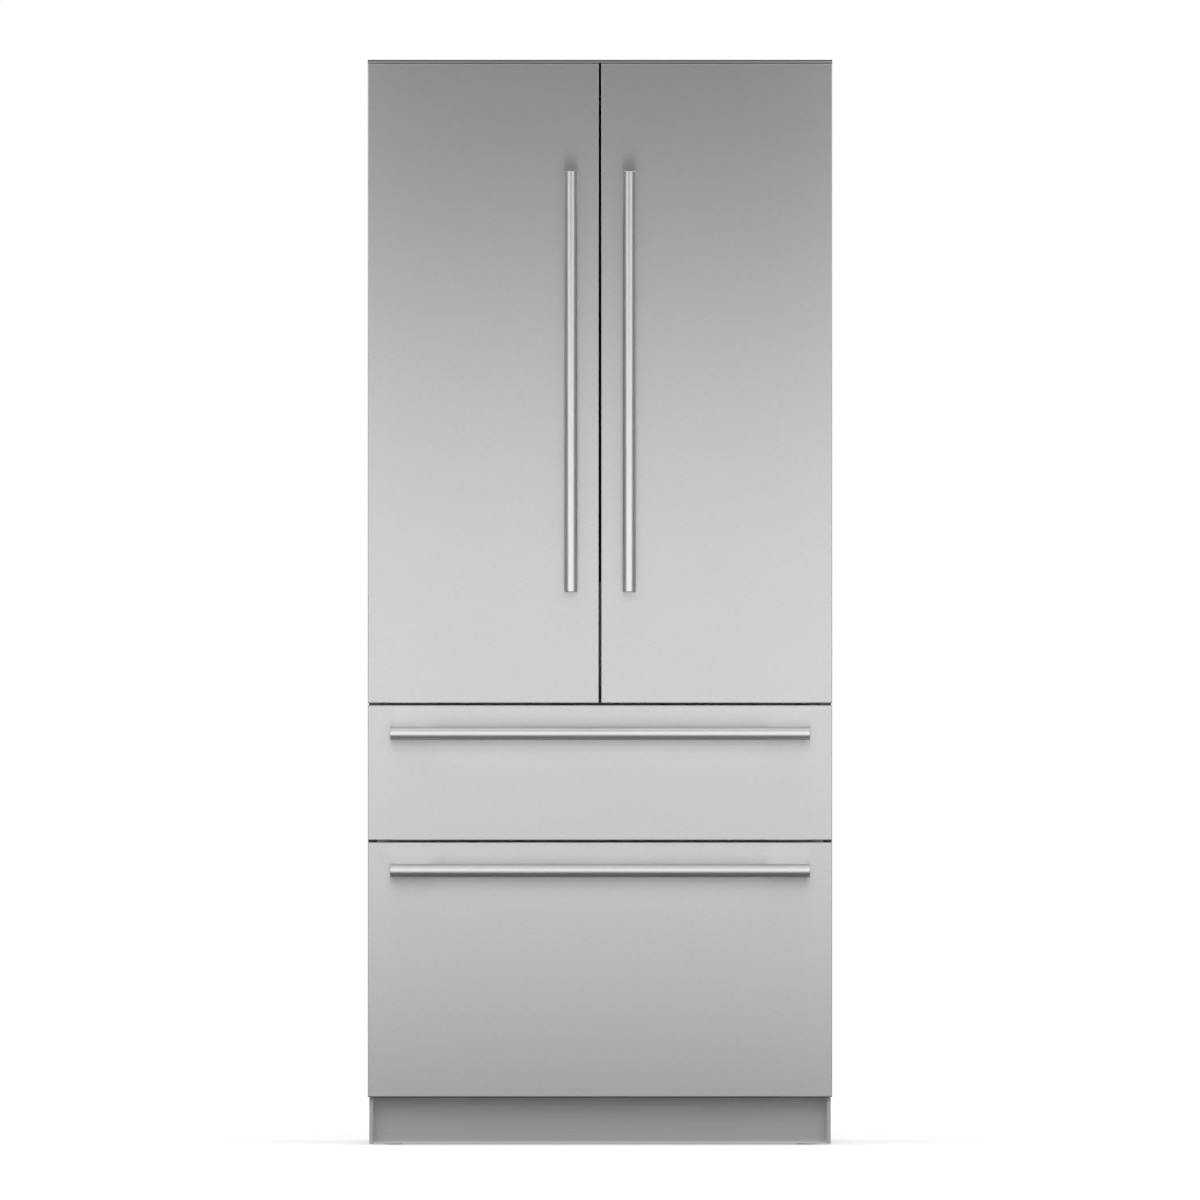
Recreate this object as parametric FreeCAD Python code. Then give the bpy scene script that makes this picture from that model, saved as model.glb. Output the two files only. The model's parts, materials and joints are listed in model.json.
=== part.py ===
import FreeCAD, Part
import math
import os

# A built-in refrigerator: two french doors over two full-width drawers.
# Sizes are millimetres. +Z is up, the doors face -Y, and the origin lies on the floor,
# in the middle of the width and of the depth over the handles.
# Every "depth" is measured backwards from the front face of the doors.

# Overall sizes and the heights of the fronts
WIDTH = 908.0
HEIGHT = 2121.0
DEPTH = 610.0
REVEAL = 4.0
TOE_HEIGHT = 94.0
LOWER_FRONT_HEIGHT = 498.0
UPPER_FRONT_HEIGHT = 264.0
TRIM_HEIGHT = 6.0
TRIM_GAP = 1.0

# Fronts: a stainless tray and a moulded inner panel, with foam between them
SKIN_SHEET = 1.5
SKIN_DEPTH = 22.0
SKIN_EDGE_RADIUS = 2.0
FRONT_DEPTH = 64.5
PANEL_SHEET = 3.0
PANEL_FLANGE = 2.0
PANEL_INSET = 6.0
PANEL_MARGIN = 0.5
PANEL_RADIUS = 5.0
FIELD_HEIGHT = 8.0
DIKE_HEIGHT = 38.5
DIKE_WIDTH = 26.0
DIKE_CLEAR = 12.0
DIKE_SIDE_CLEAR = 8.0
DIKE_RADIUS = 7.0

# Magnetic gaskets
GASKET_WIDTH = 16.0
GASKET_SPACE = 11.5
GASKET_CLEAR = 0.3
GASKET_OVER_OPENING = 10.0
GASKET_FREE_EDGE = 8.0
GASKET_RADIUS = 3.0

# Bar handles on two pedestals
HANDLE_REACH = 62.0
HANDLE_DIAMETER = 26.6
HANDLE_LENGTH = 822.0
HANDLE_INSET = 55.0
HANDLE_ABOVE_DOOR_BOTTOM = 217.0
HANDLE_END_RADIUS = 2.0
PEDESTAL_LENGTH = 80.0
PEDESTAL_WIDTH = 17.0
PEDESTAL_FROM_END = 5.0
PEDESTAL_RADIUS = 5.0

# Door hinges and the turning axis
PIVOT_FROM_FACE = 9.0
PIVOT_FROM_SIDE = 9.0
PIN_DIAMETER = 8.0
PIN_ENGAGEMENT = 13.0
PIN_CLEARANCE = 0.05
BOSS_WALL = 5.0
HINGE_PLATE = 3.0
HINGE_WIDTH = 21.0
HINGE_FROM_FACE = 4.0
HINGE_FROM_SIDE = 2.0
HINGE_TAB_HEIGHT = 30.0
HINGE_TAB = 4.0
HINGE_RISER_DEPTH = 40.0
HINGE_FOOT_WIDTH = 50.0
HINGE_TRIM_CLEAR = 0.5

# Casing, insulation and liners
CASING_INSET = 3.0
CASING_SHEET = 1.2
REAR_RECESS = 5.0
SIDE_WALL = 51.0
ROOF_SPACE = 25.0
ROOF_WALL = 51.0
REAR_WALL = 50.0
SEAL_LAND = 31.0
FREEZER_FLOOR_WALL = 56.0
LINER_SHEET = 3.0
LINER_RADIUS = 22.0
MACHINE_DEPTH = 183.0
MACHINE_HEIGHT = 240.0
MACHINE_WALL = 36.0
UPSTAND_WIDTH = 500.0
UPSTAND_SHEET = 1.5
WALL_SCREW_SPACING = 400.0
WALL_SCREW_HOLE = 7.0
WALL_SCREW_FROM_TOP = 11.0

# Top trim and toe kick
TRIM_SHEET = 1.5
TRIM_LIP = 2.0
TRIM_DEPTH = 132.0
TOE_SHEET = 1.5
TOE_SIDE_WIDTH = 7.5
TOE_SIDE_FROM_FACE = 20.0
TOE_FLOOR_GAP = 2.0
TOE_TOP_GAP = 2.0

# Base frame, feet and rollers
FRAME_CLEAR = 30.0
FRAME_PLATE = 3.0
DECK_PLATE = 2.0
BEAM_FROM_FACE = 95.0
BEAM_DEPTH = 40.0
BEAM_HEIGHT = 30.0
FOOT_FROM_SIDE = 49.0
FOOT_STEM = 12.0
FOOT_STEM_CLEAR = 0.05
FOOT_STEM_TOP_GAP = 2.0
FOOT_PAD = 40.0
FOOT_PAD_HEIGHT = 8.0
ROLLER_DIAMETER = 44.0
ROLLER_WIDTH = 20.0
ROLLER_FROM_SIDE = 49.0
ROLLER_FROM_REAR = 35.0
ROLLER_EDGE_RADIUS = 3.0
ROLLER_CUTOUT_CLEAR = 4.0
AXLE_DIAMETER = 10.0
AXLE_CLEAR = 0.05
AXLE_BRACKET = 6.0
AXLE_BRACKET_DEPTH = 30.0
AXLE_BRACKET_BELOW = 4.0

# Telescopic drawer slides, three members a side
SLIDE_SHEET = 2.0
SLIDE_CLEAR = 0.5
SLIDE_HEIGHT = 46.0
SLIDE_LIP = 10.0
SLIDE_FROM_FLANGE = 9.0
SLIDE_BAR_REACH = 22.0
SLIDE_HEEL = 25.0
SLIDE_BRACKET = 4.0
SLIDE_BRACKET_DROP = 40.0

# Drawer bins
BIN_SHEET = 3.0
BIN_RADIUS = 14.0
BIN_RIM = 3.0
BIN_RIM_WIDTH = 8.0
BIN_BAR_CLEAR = 0.5
BIN_FROM_PANEL = 7.5
BIN_FLOOR_GAP = 12.0
UPPER_BIN_BACK_GAP = 40.0
UPPER_SLIDE_BELOW_CEILING = 44.0
LOWER_SLIDE_BELOW_CEILING = 81.0
LOWER_BIN_BACK_GAP = 8.0
TRAY_DEPTH = 150.0
TRAY_HEIGHT = 84.0
TRAY_SIDE_GAP = 4.0
TRAY_RIM_GAP = 0.3
TRAY_RADIUS = 4.0

# Fresh food compartment
DUCT_DEPTH = 30.0
DUCT_PANEL_SHEET = 3.0
DUCT_SIDE_GAP = 30.0
DUCT_TOP_GAP = 25.0
DUCT_BOTTOM_ABOVE_CRISPER = 12.0
DUCT_SLOT_WIDTH = 90.0
DUCT_SLOT_HEIGHT = 5.0
DUCT_SLOT_PITCH = 14.0
DUCT_SLOT_ROWS = 4
LADDER_WIDTH = 14.0
LADDER_DEPTH = 6.0
LADDER_FROM_EDGE = 8.0
LADDER_FROM_CENTRE = 14.0
LADDER_SLOT_HEIGHT = 10.0
LADDER_SLOT_WIDTH = 4.0
LADDER_SLOT_PITCH = 25.0
SHELF_FRONT = 172.0
SHELF_SIDE_GAP = 12.0
SHELF_CENTRE_GAP = 6.0
SHELF_GLASS = 5.0
SHELF_TRIM_DEPTH = 12.0
SHELF_TRIM_HEIGHT = 16.0
SHELF_BRACKET = 3.0
SHELF_BRACKET_ROOT = 46.0
SHELF_BRACKET_TIP = 14.0
LEFT_SHELVES_ABOVE_CRISPER = (250.0, 520.0)
RIGHT_SHELVES_ABOVE_CRISPER = (330.0, 640.0)
CRISPER_SHELF_HEIGHT = 205.0
CRISPER_FRAME_HEIGHT = 14.0
CRISPER_FRAME_WIDTH = 18.0
CRISPER_LEG = 4.0
CRISPER_STAND_GAP = 1.0
CRISPER_FRONT = 206.0
CRISPER_BACK_GAP = 40.0
CRISPER_SHEET = 3.0
CRISPER_RADIUS = 16.0
CRISPER_GAP = 2.0
CRISPER_FLOOR_GAP = 0.3
CRISPER_HEADROOM = 6.0
CRISPER_LIP_DEPTH = 16.0
CRISPER_LIP_HEIGHT = 12.0

# Door bins
DOOR_BIN_DEPTH = 94.0
DOOR_BIN_HEIGHTS = (112.0, 100.0, 92.0)
DOOR_BIN_SPACING = 290.0
DOOR_BIN_FIRST = 250.0
DOOR_BIN_SHEET = 3.0
DOOR_BIN_RADIUS = 12.0
DOOR_BIN_SIDE_GAP = 0.3
DOOR_BIN_BACK_GAP = 0.5

# Flip mullion on the left door, stored folded back
MULLION_THICK = 22.0
MULLION_WIDTH = 76.0
MULLION_END_GAP = 35.0
MULLION_FROM_CENTRE = 32.0
MULLION_RADIUS = 3.0
MULLION_AXIS_IN = 6.0
MULLION_PIN = 6.0
MULLION_PIN_LENGTH = 12.0
MULLION_PIN_CLEAR = 0.05
MULLION_PLAY = 0.5
MULLION_DIKE_GAP = 4.0
EAR_HEIGHT = 17.5
EAR_RADIUS = 9.0

# Control panel under the ceiling
CONTROL_WIDTH = 300.0
CONTROL_DEPTH = 90.0
CONTROL_HEIGHT = 24.0
CONTROL_FROM_FACE = 185.0
CONTROL_CHAMFER = 14.0

# Machine bay
COMPRESSOR_RADIUS = 70.0
COMPRESSOR_HEIGHT = 150.0
COMPRESSOR_FROM_SIDE = 211.0
COMPRESSOR_FOOT_HEIGHT = 14.0
COMPRESSOR_FOOT_RADIUS = 11.0
COMPRESSOR_BASE = 3.0
COMPRESSOR_BASE_MARGIN = 12.0
COMPRESSOR_DOME = 34.0
CONDENSER_FROM_PAN = 50.0
CONDENSER_THICK = 70.0
CONDENSER_MARGIN = 16.0
CONDENSER_FINS = 24
CONDENSER_TUBE_COLUMNS = 2
CONDENSER_TUBE_ROWS = 3
FIN_SHEET = 0.8
TUBE_DIAMETER = 8.0
SHROUD_SHEET = 3.0
SHROUD_MARGIN = 6.0
FAN_TIP_CLEAR = 5.0
FAN_HUB_RADIUS = 17.0
FAN_DEPTH = 16.0
FAN_BLADES = 5
FAN_BLADE_SHEET = 2.0
FAN_BLADE_CHORD = 34.0
FAN_BLADE_PITCH = 24.0
FAN_PLAY = 1.0
FAN_SHAFT = 6.0
FAN_SHAFT_CLEAR = 0.05
MOTOR_RADIUS = 20.0
MOTOR_LENGTH = 22.0
STRUT_WIDTH = 8.0
STRUT_COUNT = 3
PAN_FROM_SIDE = 71.0
PAN_WIDTH = 200.0
PAN_HEIGHT = 40.0
PAN_SHEET = 2.5
PAN_MARGIN = 18.0
LOUVRE_WIDTH = 5.0
LOUVRE_HEIGHT = 70.0
LOUVRE_PITCH = 14.0
LOUVRE_COUNT = 18
LOUVRE_ROWS = 2
COVER_SHEET = 1.5
COVER_MARGIN = 6.0
GLAND_FLANGE_RADIUS = 13.0
GLAND_FLANGE = 1.2
GLAND_ROOT_RADIUS = 9.0
GLAND_END_RADIUS = 7.0
GLAND_BORE_RADIUS = 4.5
GLAND_INSIDE = 1.0
GLAND_ABOVE_COVER = 62.0

# Freezer evaporator behind its air cover
AIR_COVER_DEPTH = 82.0
AIR_COVER_SHEET = 3.0
AIR_COVER_GAP = 10.0
AIR_SLOT_HEIGHT = 6.0
AIR_SLOT_WIDTH = 120.0
AIR_SLOT_PITCH = 16.0
AIR_SLOT_ROWS = 4
AIR_FAN_RADIUS = 50.0
AIR_FAN_BELOW_TOP = 70.0
EVAPORATOR_THICK = 42.0
EVAPORATOR_HEIGHT = 110.0
EVAPORATOR_WIDTH = 600.0
EVAPORATOR_FINS = 30
EVAPORATOR_TUBE_ROWS = 4
EVAPORATOR_TUBE_COLUMNS = 2
EVAPORATOR_END = 3.0

# How far a cutting shape runs past the face that it opens, and how close counts as equal
CUT_OVER = 1.0
SAME = 0.01

# Places worked out from the sizes above
FACE_Y = HANDLE_REACH - (DEPTH + HANDLE_REACH) / 2
HALF = WIDTH / 2
LOWER_BOTTOM = TOE_HEIGHT
LOWER_TOP = LOWER_BOTTOM + LOWER_FRONT_HEIGHT
UPPER_BOTTOM = LOWER_TOP + REVEAL
UPPER_TOP = UPPER_BOTTOM + UPPER_FRONT_HEIGHT
DOOR_BOTTOM = UPPER_TOP + REVEAL
DOOR_TOP = HEIGHT - TRIM_HEIGHT - TRIM_GAP
CASING_HALF = HALF - CASING_INSET
CASING_IN = CASING_HALF - CASING_SHEET
CASING_TOP = HEIGHT - ROOF_SPACE
CASING_FRONT = FRONT_DEPTH + GASKET_SPACE
FOAM_FRONT = CASING_FRONT + CASING_SHEET
REAR_FACE = DEPTH - REAR_RECESS
FOAM_BACK = REAR_FACE - CASING_SHEET
COVER_FRONT = REAR_FACE - COVER_SHEET
LINER_HALF = CASING_HALF - SIDE_WALL
LINER_BACK = DEPTH - REAR_WALL
FOOD_FLOOR = DOOR_BOTTOM + SEAL_LAND
FOOD_CEILING = CASING_TOP - ROOF_WALL
UPPER_FLOOR = UPPER_BOTTOM + SEAL_LAND
UPPER_CEILING = UPPER_TOP - SEAL_LAND
FREEZER_FLOOR = LOWER_BOTTOM + FREEZER_FLOOR_WALL
FREEZER_CEILING = LOWER_TOP - SEAL_LAND
MACHINE_FRONT = DEPTH - MACHINE_DEPTH
STEP_FRONT = MACHINE_FRONT - MACHINE_WALL - LINER_SHEET
STEP_TOP = MACHINE_HEIGHT + MACHINE_WALL + LINER_SHEET
FRAME_HALF = CASING_IN - FRAME_PLATE
TOE_BACK = CASING_FRONT
DUCT_FRONT = LINER_BACK - DUCT_DEPTH
CRISPER_SHELF_TOP = FOOD_FLOOR + CRISPER_SHELF_HEIGHT
AIR_COVER_FRONT = LINER_BACK - AIR_COVER_DEPTH
UPPER_SLIDE_Z = UPPER_CEILING - UPPER_SLIDE_BELOW_CEILING
LOWER_SLIDE_Z = FREEZER_CEILING - LOWER_SLIDE_BELOW_CEILING
SLIDE_FRONT = CASING_FRONT + SLIDE_FROM_FLANGE
MID_BACK_X = LINER_HALF - SLIDE_SHEET - SLIDE_CLEAR
BAR_BACK_X = MID_BACK_X - SLIDE_SHEET - SLIDE_CLEAR
BAR_IN_X = LINER_HALF - SLIDE_BAR_REACH
BAR_HALF_HEIGHT = SLIDE_HEIGHT / 2 - 2 * (SLIDE_SHEET + SLIDE_CLEAR)
BIN_HALF = BAR_IN_X - BIN_BAR_CLEAR
BIN_FRONT = FRONT_DEPTH + FIELD_HEIGHT + BIN_FROM_PANEL
MULLION_BOTTOM = FOOD_FLOOR + MULLION_END_GAP
MULLION_TOP = FOOD_CEILING - MULLION_END_GAP
MULLION_AXIS_X = -(MULLION_FROM_CENTRE + MULLION_AXIS_IN)
MULLION_AXIS_DEPTH = CASING_FRONT + MULLION_AXIS_IN
DIKE_FROM_CENTRE = MULLION_FROM_CENTRE + MULLION_THICK + MULLION_DIKE_GAP


# Small shape builders
def block(x, depth, z):
    """A box between two limits each of x, depth behind the door face, and z."""
    corner = FreeCAD.Vector(min(x), FACE_Y + min(depth), min(z))
    return Part.makeBox(abs(x[1] - x[0]), abs(depth[1] - depth[0]), abs(z[1] - z[0]), corner)


def rod(radius, length, start, direction):
    """A round bar from start (x, depth, z), along a direction."""
    foot = FreeCAD.Vector(start[0], FACE_Y + start[1], start[2])
    return Part.makeCylinder(radius, length, foot, FreeCAD.Vector(*direction))


def runs_along(edge, axis):
    """True if a straight edge is parallel to the named axis."""
    if not isinstance(edge.Curve, Part.Line):
        return False
    return abs(getattr(edge.tangentAt(edge.FirstParameter), axis)) > 1 - SAME


def round_edges(shape, radius, keep):
    """The shape with a fillet on every edge for which keep(edge) is true."""
    return shape.makeFillet(radius, [edge for edge in shape.Edges if keep(edge)])


def join(shapes):
    """The shapes as one solid."""
    first = shapes[0]
    return first.multiFuse(shapes[1:]).removeSplitter() if len(shapes) > 1 else first


def lies_at_depth(edge, depth):
    """True if the whole edge lies at one depth behind the door face."""
    box = edge.BoundBox
    return abs(box.YMin - FACE_Y - depth) < SAME and abs(box.YMax - FACE_Y - depth) < SAME


def lies_at_height(edge, height):
    """True if the whole edge lies at one height."""
    return abs(edge.BoundBox.ZMin - height) < SAME and abs(edge.BoundBox.ZMax - height) < SAME


def open_tray(x, depth, z, sheet, radius):
    """A thin-walled tray, open at the top, with rounded upright corners."""
    outer = round_edges(block(x, depth, z), radius, lambda edge: runs_along(edge, "z"))
    hollow = block(
        (min(x) + sheet, max(x) - sheet),
        (min(depth) + sheet, max(depth) - sheet),
        (min(z) + sheet, max(z) + sheet),
    )
    hollow = round_edges(hollow, radius - sheet, lambda edge: runs_along(edge, "z"))
    return outer.cut(hollow)


def ring(outer_x, outer_z, width, depth):
    """A rectangular frame that faces the doors, width wide."""
    hole = block(
        (min(outer_x) + width, max(outer_x) - width),
        (min(depth) - CUT_OVER, max(depth) + CUT_OVER),
        (min(outer_z) + width, max(outer_z) - width),
    )
    return block(outer_x, depth, outer_z).cut(hole)


# Fronts of the doors and drawers
class Front:
    """One door or drawer front: its outline and the opening that it closes."""

    def __init__(self, name, x, z, opening_x, opening_z, hinge_side=0):
        self.name = name
        self.x = x
        self.z = z
        self.opening_x = opening_x
        self.opening_z = opening_z
        self.hinge_side = hinge_side

    def inset(self, margin):
        """The outline taken in by a margin, as limits of x and of z."""
        x = (self.x[0] + margin, self.x[1] - margin)
        z = (self.z[0] + margin, self.z[1] - margin)
        return x, z


def hinge_pivot(side):
    """Where a door's turning axis stands, as x and depth."""
    return side * (HALF - PIVOT_FROM_SIDE), PIVOT_FROM_FACE


def hinge_bosses(front):
    """Blocks inside the door's top and bottom corners that take the hinge pins."""
    x, depth = hinge_pivot(front.hinge_side)
    reach = PIN_DIAMETER / 2 + PIN_CLEARANCE + BOSS_WALL
    outer = front.hinge_side * (HALF - SKIN_SHEET)
    inner = x - front.hinge_side * reach
    height = PIN_ENGAGEMENT + BOSS_WALL
    limits = ((front.z[0], front.z[0] + height), (front.z[1] - height, front.z[1]))
    return [block((outer, inner), (SKIN_SHEET, depth + reach), z) for z in limits]


def hinge_pin_holes(front):
    """The pin holes through the skin into the bosses."""
    x, depth = hinge_pivot(front.hinge_side)
    radius = PIN_DIAMETER / 2 + PIN_CLEARANCE
    length = PIN_ENGAGEMENT + CUT_OVER
    low = rod(radius, length, (x, depth, front.z[0]), (0, 0, 1))
    high = rod(radius, length, (x, depth, front.z[1] - length), (0, 0, 1))
    return [low, high]


def make_skin(front):
    """The folded stainless tray that is the visible face."""
    outer = block(front.x, (0, SKIN_DEPTH), front.z)
    outer = round_edges(outer, SKIN_EDGE_RADIUS, lambda edge: lies_at_depth(edge, 0))
    x, z = front.inset(SKIN_SHEET)
    skin = outer.cut(block(x, (SKIN_SHEET, SKIN_DEPTH + CUT_OVER), z))
    if front.hinge_side:
        skin = join([skin] + hinge_bosses(front))
        for hole in hinge_pin_holes(front):
            skin = skin.cut(hole)
    return skin


def make_insulation(front):
    """The foam that fills the skin and the inner panel."""
    x, z = front.inset(SKIN_SHEET)
    in_skin = block(x, (SKIN_SHEET, SKIN_DEPTH), z)
    x, z = front.inset(PANEL_INSET + PANEL_SHEET)
    in_panel = block(x, (SKIN_DEPTH, FRONT_DEPTH - PANEL_SHEET), z)
    foam = join([in_skin, in_panel])
    if front.hinge_side:
        for boss in hinge_bosses(front):
            foam = foam.cut(boss)
    return foam


def dike_limits(front):
    """The outline of the raised frame that reaches into the compartment."""
    side = front.hinge_side
    hinge_x = side * (LINER_HALF - DIKE_SIDE_CLEAR)
    x = (hinge_x, side * DIKE_FROM_CENTRE)
    z = (front.opening_z[0] + DIKE_CLEAR, front.opening_z[1] - DIKE_CLEAR)
    return (min(x), max(x)), z


def make_inner_panel(front):
    """The moulded inner panel: a rim on the skin, side walls, a back and a raised part."""
    x, z = front.inset(PANEL_MARGIN)
    rim_back = SKIN_DEPTH + PANEL_FLANGE
    rim = block(x, (SKIN_DEPTH, rim_back), z)
    x, z = front.inset(PANEL_INSET)
    shell = block(x, (SKIN_DEPTH, FRONT_DEPTH), z)
    shell = round_edges(shell, PANEL_RADIUS, lambda edge: lies_at_depth(edge, FRONT_DEPTH))
    x, z = front.inset(PANEL_INSET + PANEL_SHEET)
    hollow = block(x, (SKIN_DEPTH - CUT_OVER, FRONT_DEPTH - PANEL_SHEET), z)
    panel = join([rim, shell]).cut(hollow)
    if front.hinge_side:
        x, z = dike_limits(front)
        top = FRONT_DEPTH + DIKE_HEIGHT
        raised = ring(x, z, DIKE_WIDTH, (FRONT_DEPTH, top))
        raised = round_edges(raised, DIKE_RADIUS, lambda edge: lies_at_depth(edge, top))
    else:
        top = FRONT_DEPTH + FIELD_HEIGHT
        x = (front.opening_x[0] + DIKE_CLEAR, front.opening_x[1] - DIKE_CLEAR)
        z = (front.opening_z[0] + DIKE_CLEAR, front.opening_z[1] - DIKE_CLEAR)
        raised = block(x, (FRONT_DEPTH, top), z)
        raised = round_edges(raised, PANEL_RADIUS, lambda edge: lies_at_depth(edge, top))
    return join([panel, raised])


def gasket_limits(front):
    """The outer outline of the gasket: past the opening, or at a door's free edge."""
    reach = GASKET_OVER_OPENING + GASKET_WIDTH
    x = [front.opening_x[0] - reach, front.opening_x[1] + reach]
    if front.hinge_side < 0:
        x[1] = front.x[1] - GASKET_FREE_EDGE
    if front.hinge_side > 0:
        x[0] = front.x[0] + GASKET_FREE_EDGE
    return x, (front.opening_z[0] - reach, front.opening_z[1] + reach)


def make_gasket(front):
    """The bellows seal round the inner panel, just clear of the cabinet face."""
    x, z = gasket_limits(front)
    back = CASING_FRONT - GASKET_CLEAR
    seal = ring(x, z, GASKET_WIDTH, (FRONT_DEPTH, back))
    return round_edges(seal, GASKET_RADIUS, lambda edge: lies_at_depth(edge, back))


def make_handle(axis, start):
    """A round bar along axis from start (x, z), with a pedestal near each end."""
    radius = HANDLE_DIAMETER / 2
    depth = radius - HANDLE_REACH
    along = {"x": (1, 0, 0), "z": (0, 0, 1)}[axis]
    bar = rod(radius, HANDLE_LENGTH, (start[0], depth, start[1]), along)
    bar = bar.makeFillet(HANDLE_END_RADIUS, [e for e in bar.Edges if isinstance(e.Curve, Part.Circle)])
    pieces = [bar]
    for offset in (PEDESTAL_FROM_END, HANDLE_LENGTH - PEDESTAL_FROM_END - PEDESTAL_LENGTH):
        long_limits = (offset, offset + PEDESTAL_LENGTH)
        wide_limits = (-PEDESTAL_WIDTH / 2, PEDESTAL_WIDTH / 2)
        if axis == "x":
            x = tuple(start[0] + value for value in long_limits)
            z = tuple(start[1] + value for value in wide_limits)
        else:
            x = tuple(start[0] + value for value in wide_limits)
            z = tuple(start[1] + value for value in long_limits)
        pedestal = block(x, (depth, 0), z)
        pieces.append(round_edges(pedestal, PEDESTAL_RADIUS, lambda edge: runs_along(edge, "y")))
    return join(pieces)


def make_door_bins(front):
    """Three clear bins that sit between the upright walls of the door's raised frame."""
    x, z = dike_limits(front)
    x = (x[0] + DIKE_WIDTH + DOOR_BIN_SIDE_GAP, x[1] - DIKE_WIDTH - DOOR_BIN_SIDE_GAP)
    near = FRONT_DEPTH + DOOR_BIN_BACK_GAP
    bins = []
    for number, height in enumerate(DOOR_BIN_HEIGHTS):
        bottom = front.z[0] + DOOR_BIN_FIRST + number * DOOR_BIN_SPACING
        limits = (bottom, bottom + height)
        bins.append(open_tray(x, (near, near + DOOR_BIN_DEPTH), limits, DOOR_BIN_SHEET, DOOR_BIN_RADIUS))
    return Part.makeCompound(bins)


def mullion_ears():
    """The two lugs on the left door's inner panel that hold the flip mullion's pins."""
    ears = []
    low = (MULLION_BOTTOM - MULLION_PLAY - EAR_HEIGHT, MULLION_BOTTOM - MULLION_PLAY)
    high = (MULLION_TOP + MULLION_PLAY, MULLION_TOP + MULLION_PLAY + EAR_HEIGHT)
    for z in (low, high):
        web = block(
            (MULLION_AXIS_X - EAR_RADIUS, MULLION_AXIS_X + EAR_RADIUS),
            (FRONT_DEPTH, MULLION_AXIS_DEPTH),
            z,
        )
        start = (MULLION_AXIS_X, MULLION_AXIS_DEPTH, z[0])
        nose = rod(EAR_RADIUS, EAR_HEIGHT, start, (0, 0, 1))
        bore = rod(MULLION_PIN / 2 + MULLION_PIN_CLEAR, EAR_HEIGHT, start, (0, 0, 1))
        ears.append(join([web, nose]).cut(bore))
    return ears


def make_mullion():
    """The bar that closes the gap behind the two doors, folded back as on an open door."""
    x = (-MULLION_FROM_CENTRE - MULLION_THICK, -MULLION_FROM_CENTRE)
    depth = (CASING_FRONT, CASING_FRONT + MULLION_WIDTH)
    bar = block(x, depth, (MULLION_BOTTOM, MULLION_TOP))
    bar = round_edges(bar, MULLION_RADIUS, lambda edge: runs_along(edge, "z"))
    low = (MULLION_AXIS_X, MULLION_AXIS_DEPTH, MULLION_BOTTOM - MULLION_PIN_LENGTH)
    high = (MULLION_AXIS_X, MULLION_AXIS_DEPTH, MULLION_TOP)
    pins = [rod(MULLION_PIN / 2, MULLION_PIN_LENGTH, start, (0, 0, 1)) for start in (low, high)]
    return join([bar] + pins)


# Casing, trim and liners
def make_side_panel(side):
    """One outer side with its front flange, where the gaskets seal."""
    wall = block((side * CASING_HALF, side * CASING_IN), (CASING_FRONT, DEPTH), (FRAME_CLEAR, CASING_TOP))
    flange = block(
        (side * CASING_IN, side * LINER_HALF),
        (CASING_FRONT, FOAM_FRONT),
        (TOE_HEIGHT, CASING_TOP - CASING_SHEET),
    )
    return join([wall, flange])


def make_top_panel():
    """The roof sheet, its front flange, and the rear upstand that is screwed to the wall."""
    roof_bottom = CASING_TOP - CASING_SHEET
    roof = block((-CASING_IN, CASING_IN), (CASING_FRONT, DEPTH), (roof_bottom, CASING_TOP))
    flange = block((-LINER_HALF, LINER_HALF), (CASING_FRONT, FOAM_FRONT), (FOOD_CEILING, roof_bottom))
    half = UPSTAND_WIDTH / 2
    upstand = block((-half, half), (DEPTH - UPSTAND_SHEET, DEPTH), (CASING_TOP, HEIGHT))
    panel = join([roof, flange, upstand])
    for x in (-WALL_SCREW_SPACING / 2, WALL_SCREW_SPACING / 2):
        start = (x, DEPTH - UPSTAND_SHEET - CUT_OVER, HEIGHT - WALL_SCREW_FROM_TOP)
        panel = panel.cut(rod(WALL_SCREW_HOLE / 2, UPSTAND_SHEET + 2 * CUT_OVER, start, (0, 1, 0)))
    return panel


def make_rear_panel():
    """The back sheet, above the machine bay, set in behind the casing's rear edge."""
    z = (MACHINE_HEIGHT, CASING_TOP - CASING_SHEET)
    return block((-CASING_IN, CASING_IN), (FOAM_BACK, REAR_FACE), z)


def make_top_trim():
    """The thin cover over the hinges, whose lip shows above the doors."""
    lip_bottom = DOOR_TOP + TRIM_GAP
    sheet = block((-HALF, HALF), (0, TRIM_DEPTH), (HEIGHT - TRIM_SHEET, HEIGHT))
    lip = block((-HALF, HALF), (0, TRIM_LIP), (lip_bottom, HEIGHT))
    rear = block((-CASING_HALF, CASING_HALF), (TRIM_DEPTH - TRIM_SHEET, TRIM_DEPTH), (CASING_TOP, HEIGHT))
    pieces = [sheet, lip, rear]
    for side in (-1, 1):
        end_x = (side * HALF, side * (HALF - TRIM_SHEET))
        pieces.append(block(end_x, (0, TRIM_DEPTH), (lip_bottom, HEIGHT)))
    return join(pieces)


def make_toe_kick():
    """The recessed plinth plate, with a forward return at each side."""
    z = (TOE_FLOOR_GAP, TOE_HEIGHT - TOE_TOP_GAP)
    plate = block((-CASING_HALF, CASING_HALF), (TOE_BACK - TOE_SHEET, TOE_BACK), z)
    pieces = [plate]
    for side in (-1, 1):
        x = (side * CASING_HALF, side * (CASING_HALF - TOE_SIDE_WIDTH))
        pieces.append(block(x, (TOE_SIDE_FROM_FACE, TOE_BACK), z))
    return join(pieces)


def lined_box(half, depth, z, radius):
    """A box with rounded rear edges, used for both faces of a liner."""
    back = max(depth)
    shape = block((-half, half), depth, z)
    upright = [e for e in shape.Edges if runs_along(e, "z") and lies_at_depth(e, back)]
    level = [e for e in shape.Edges if runs_along(e, "x") and lies_at_depth(e, back)]
    return shape.makeFillet(radius, upright + level)


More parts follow.
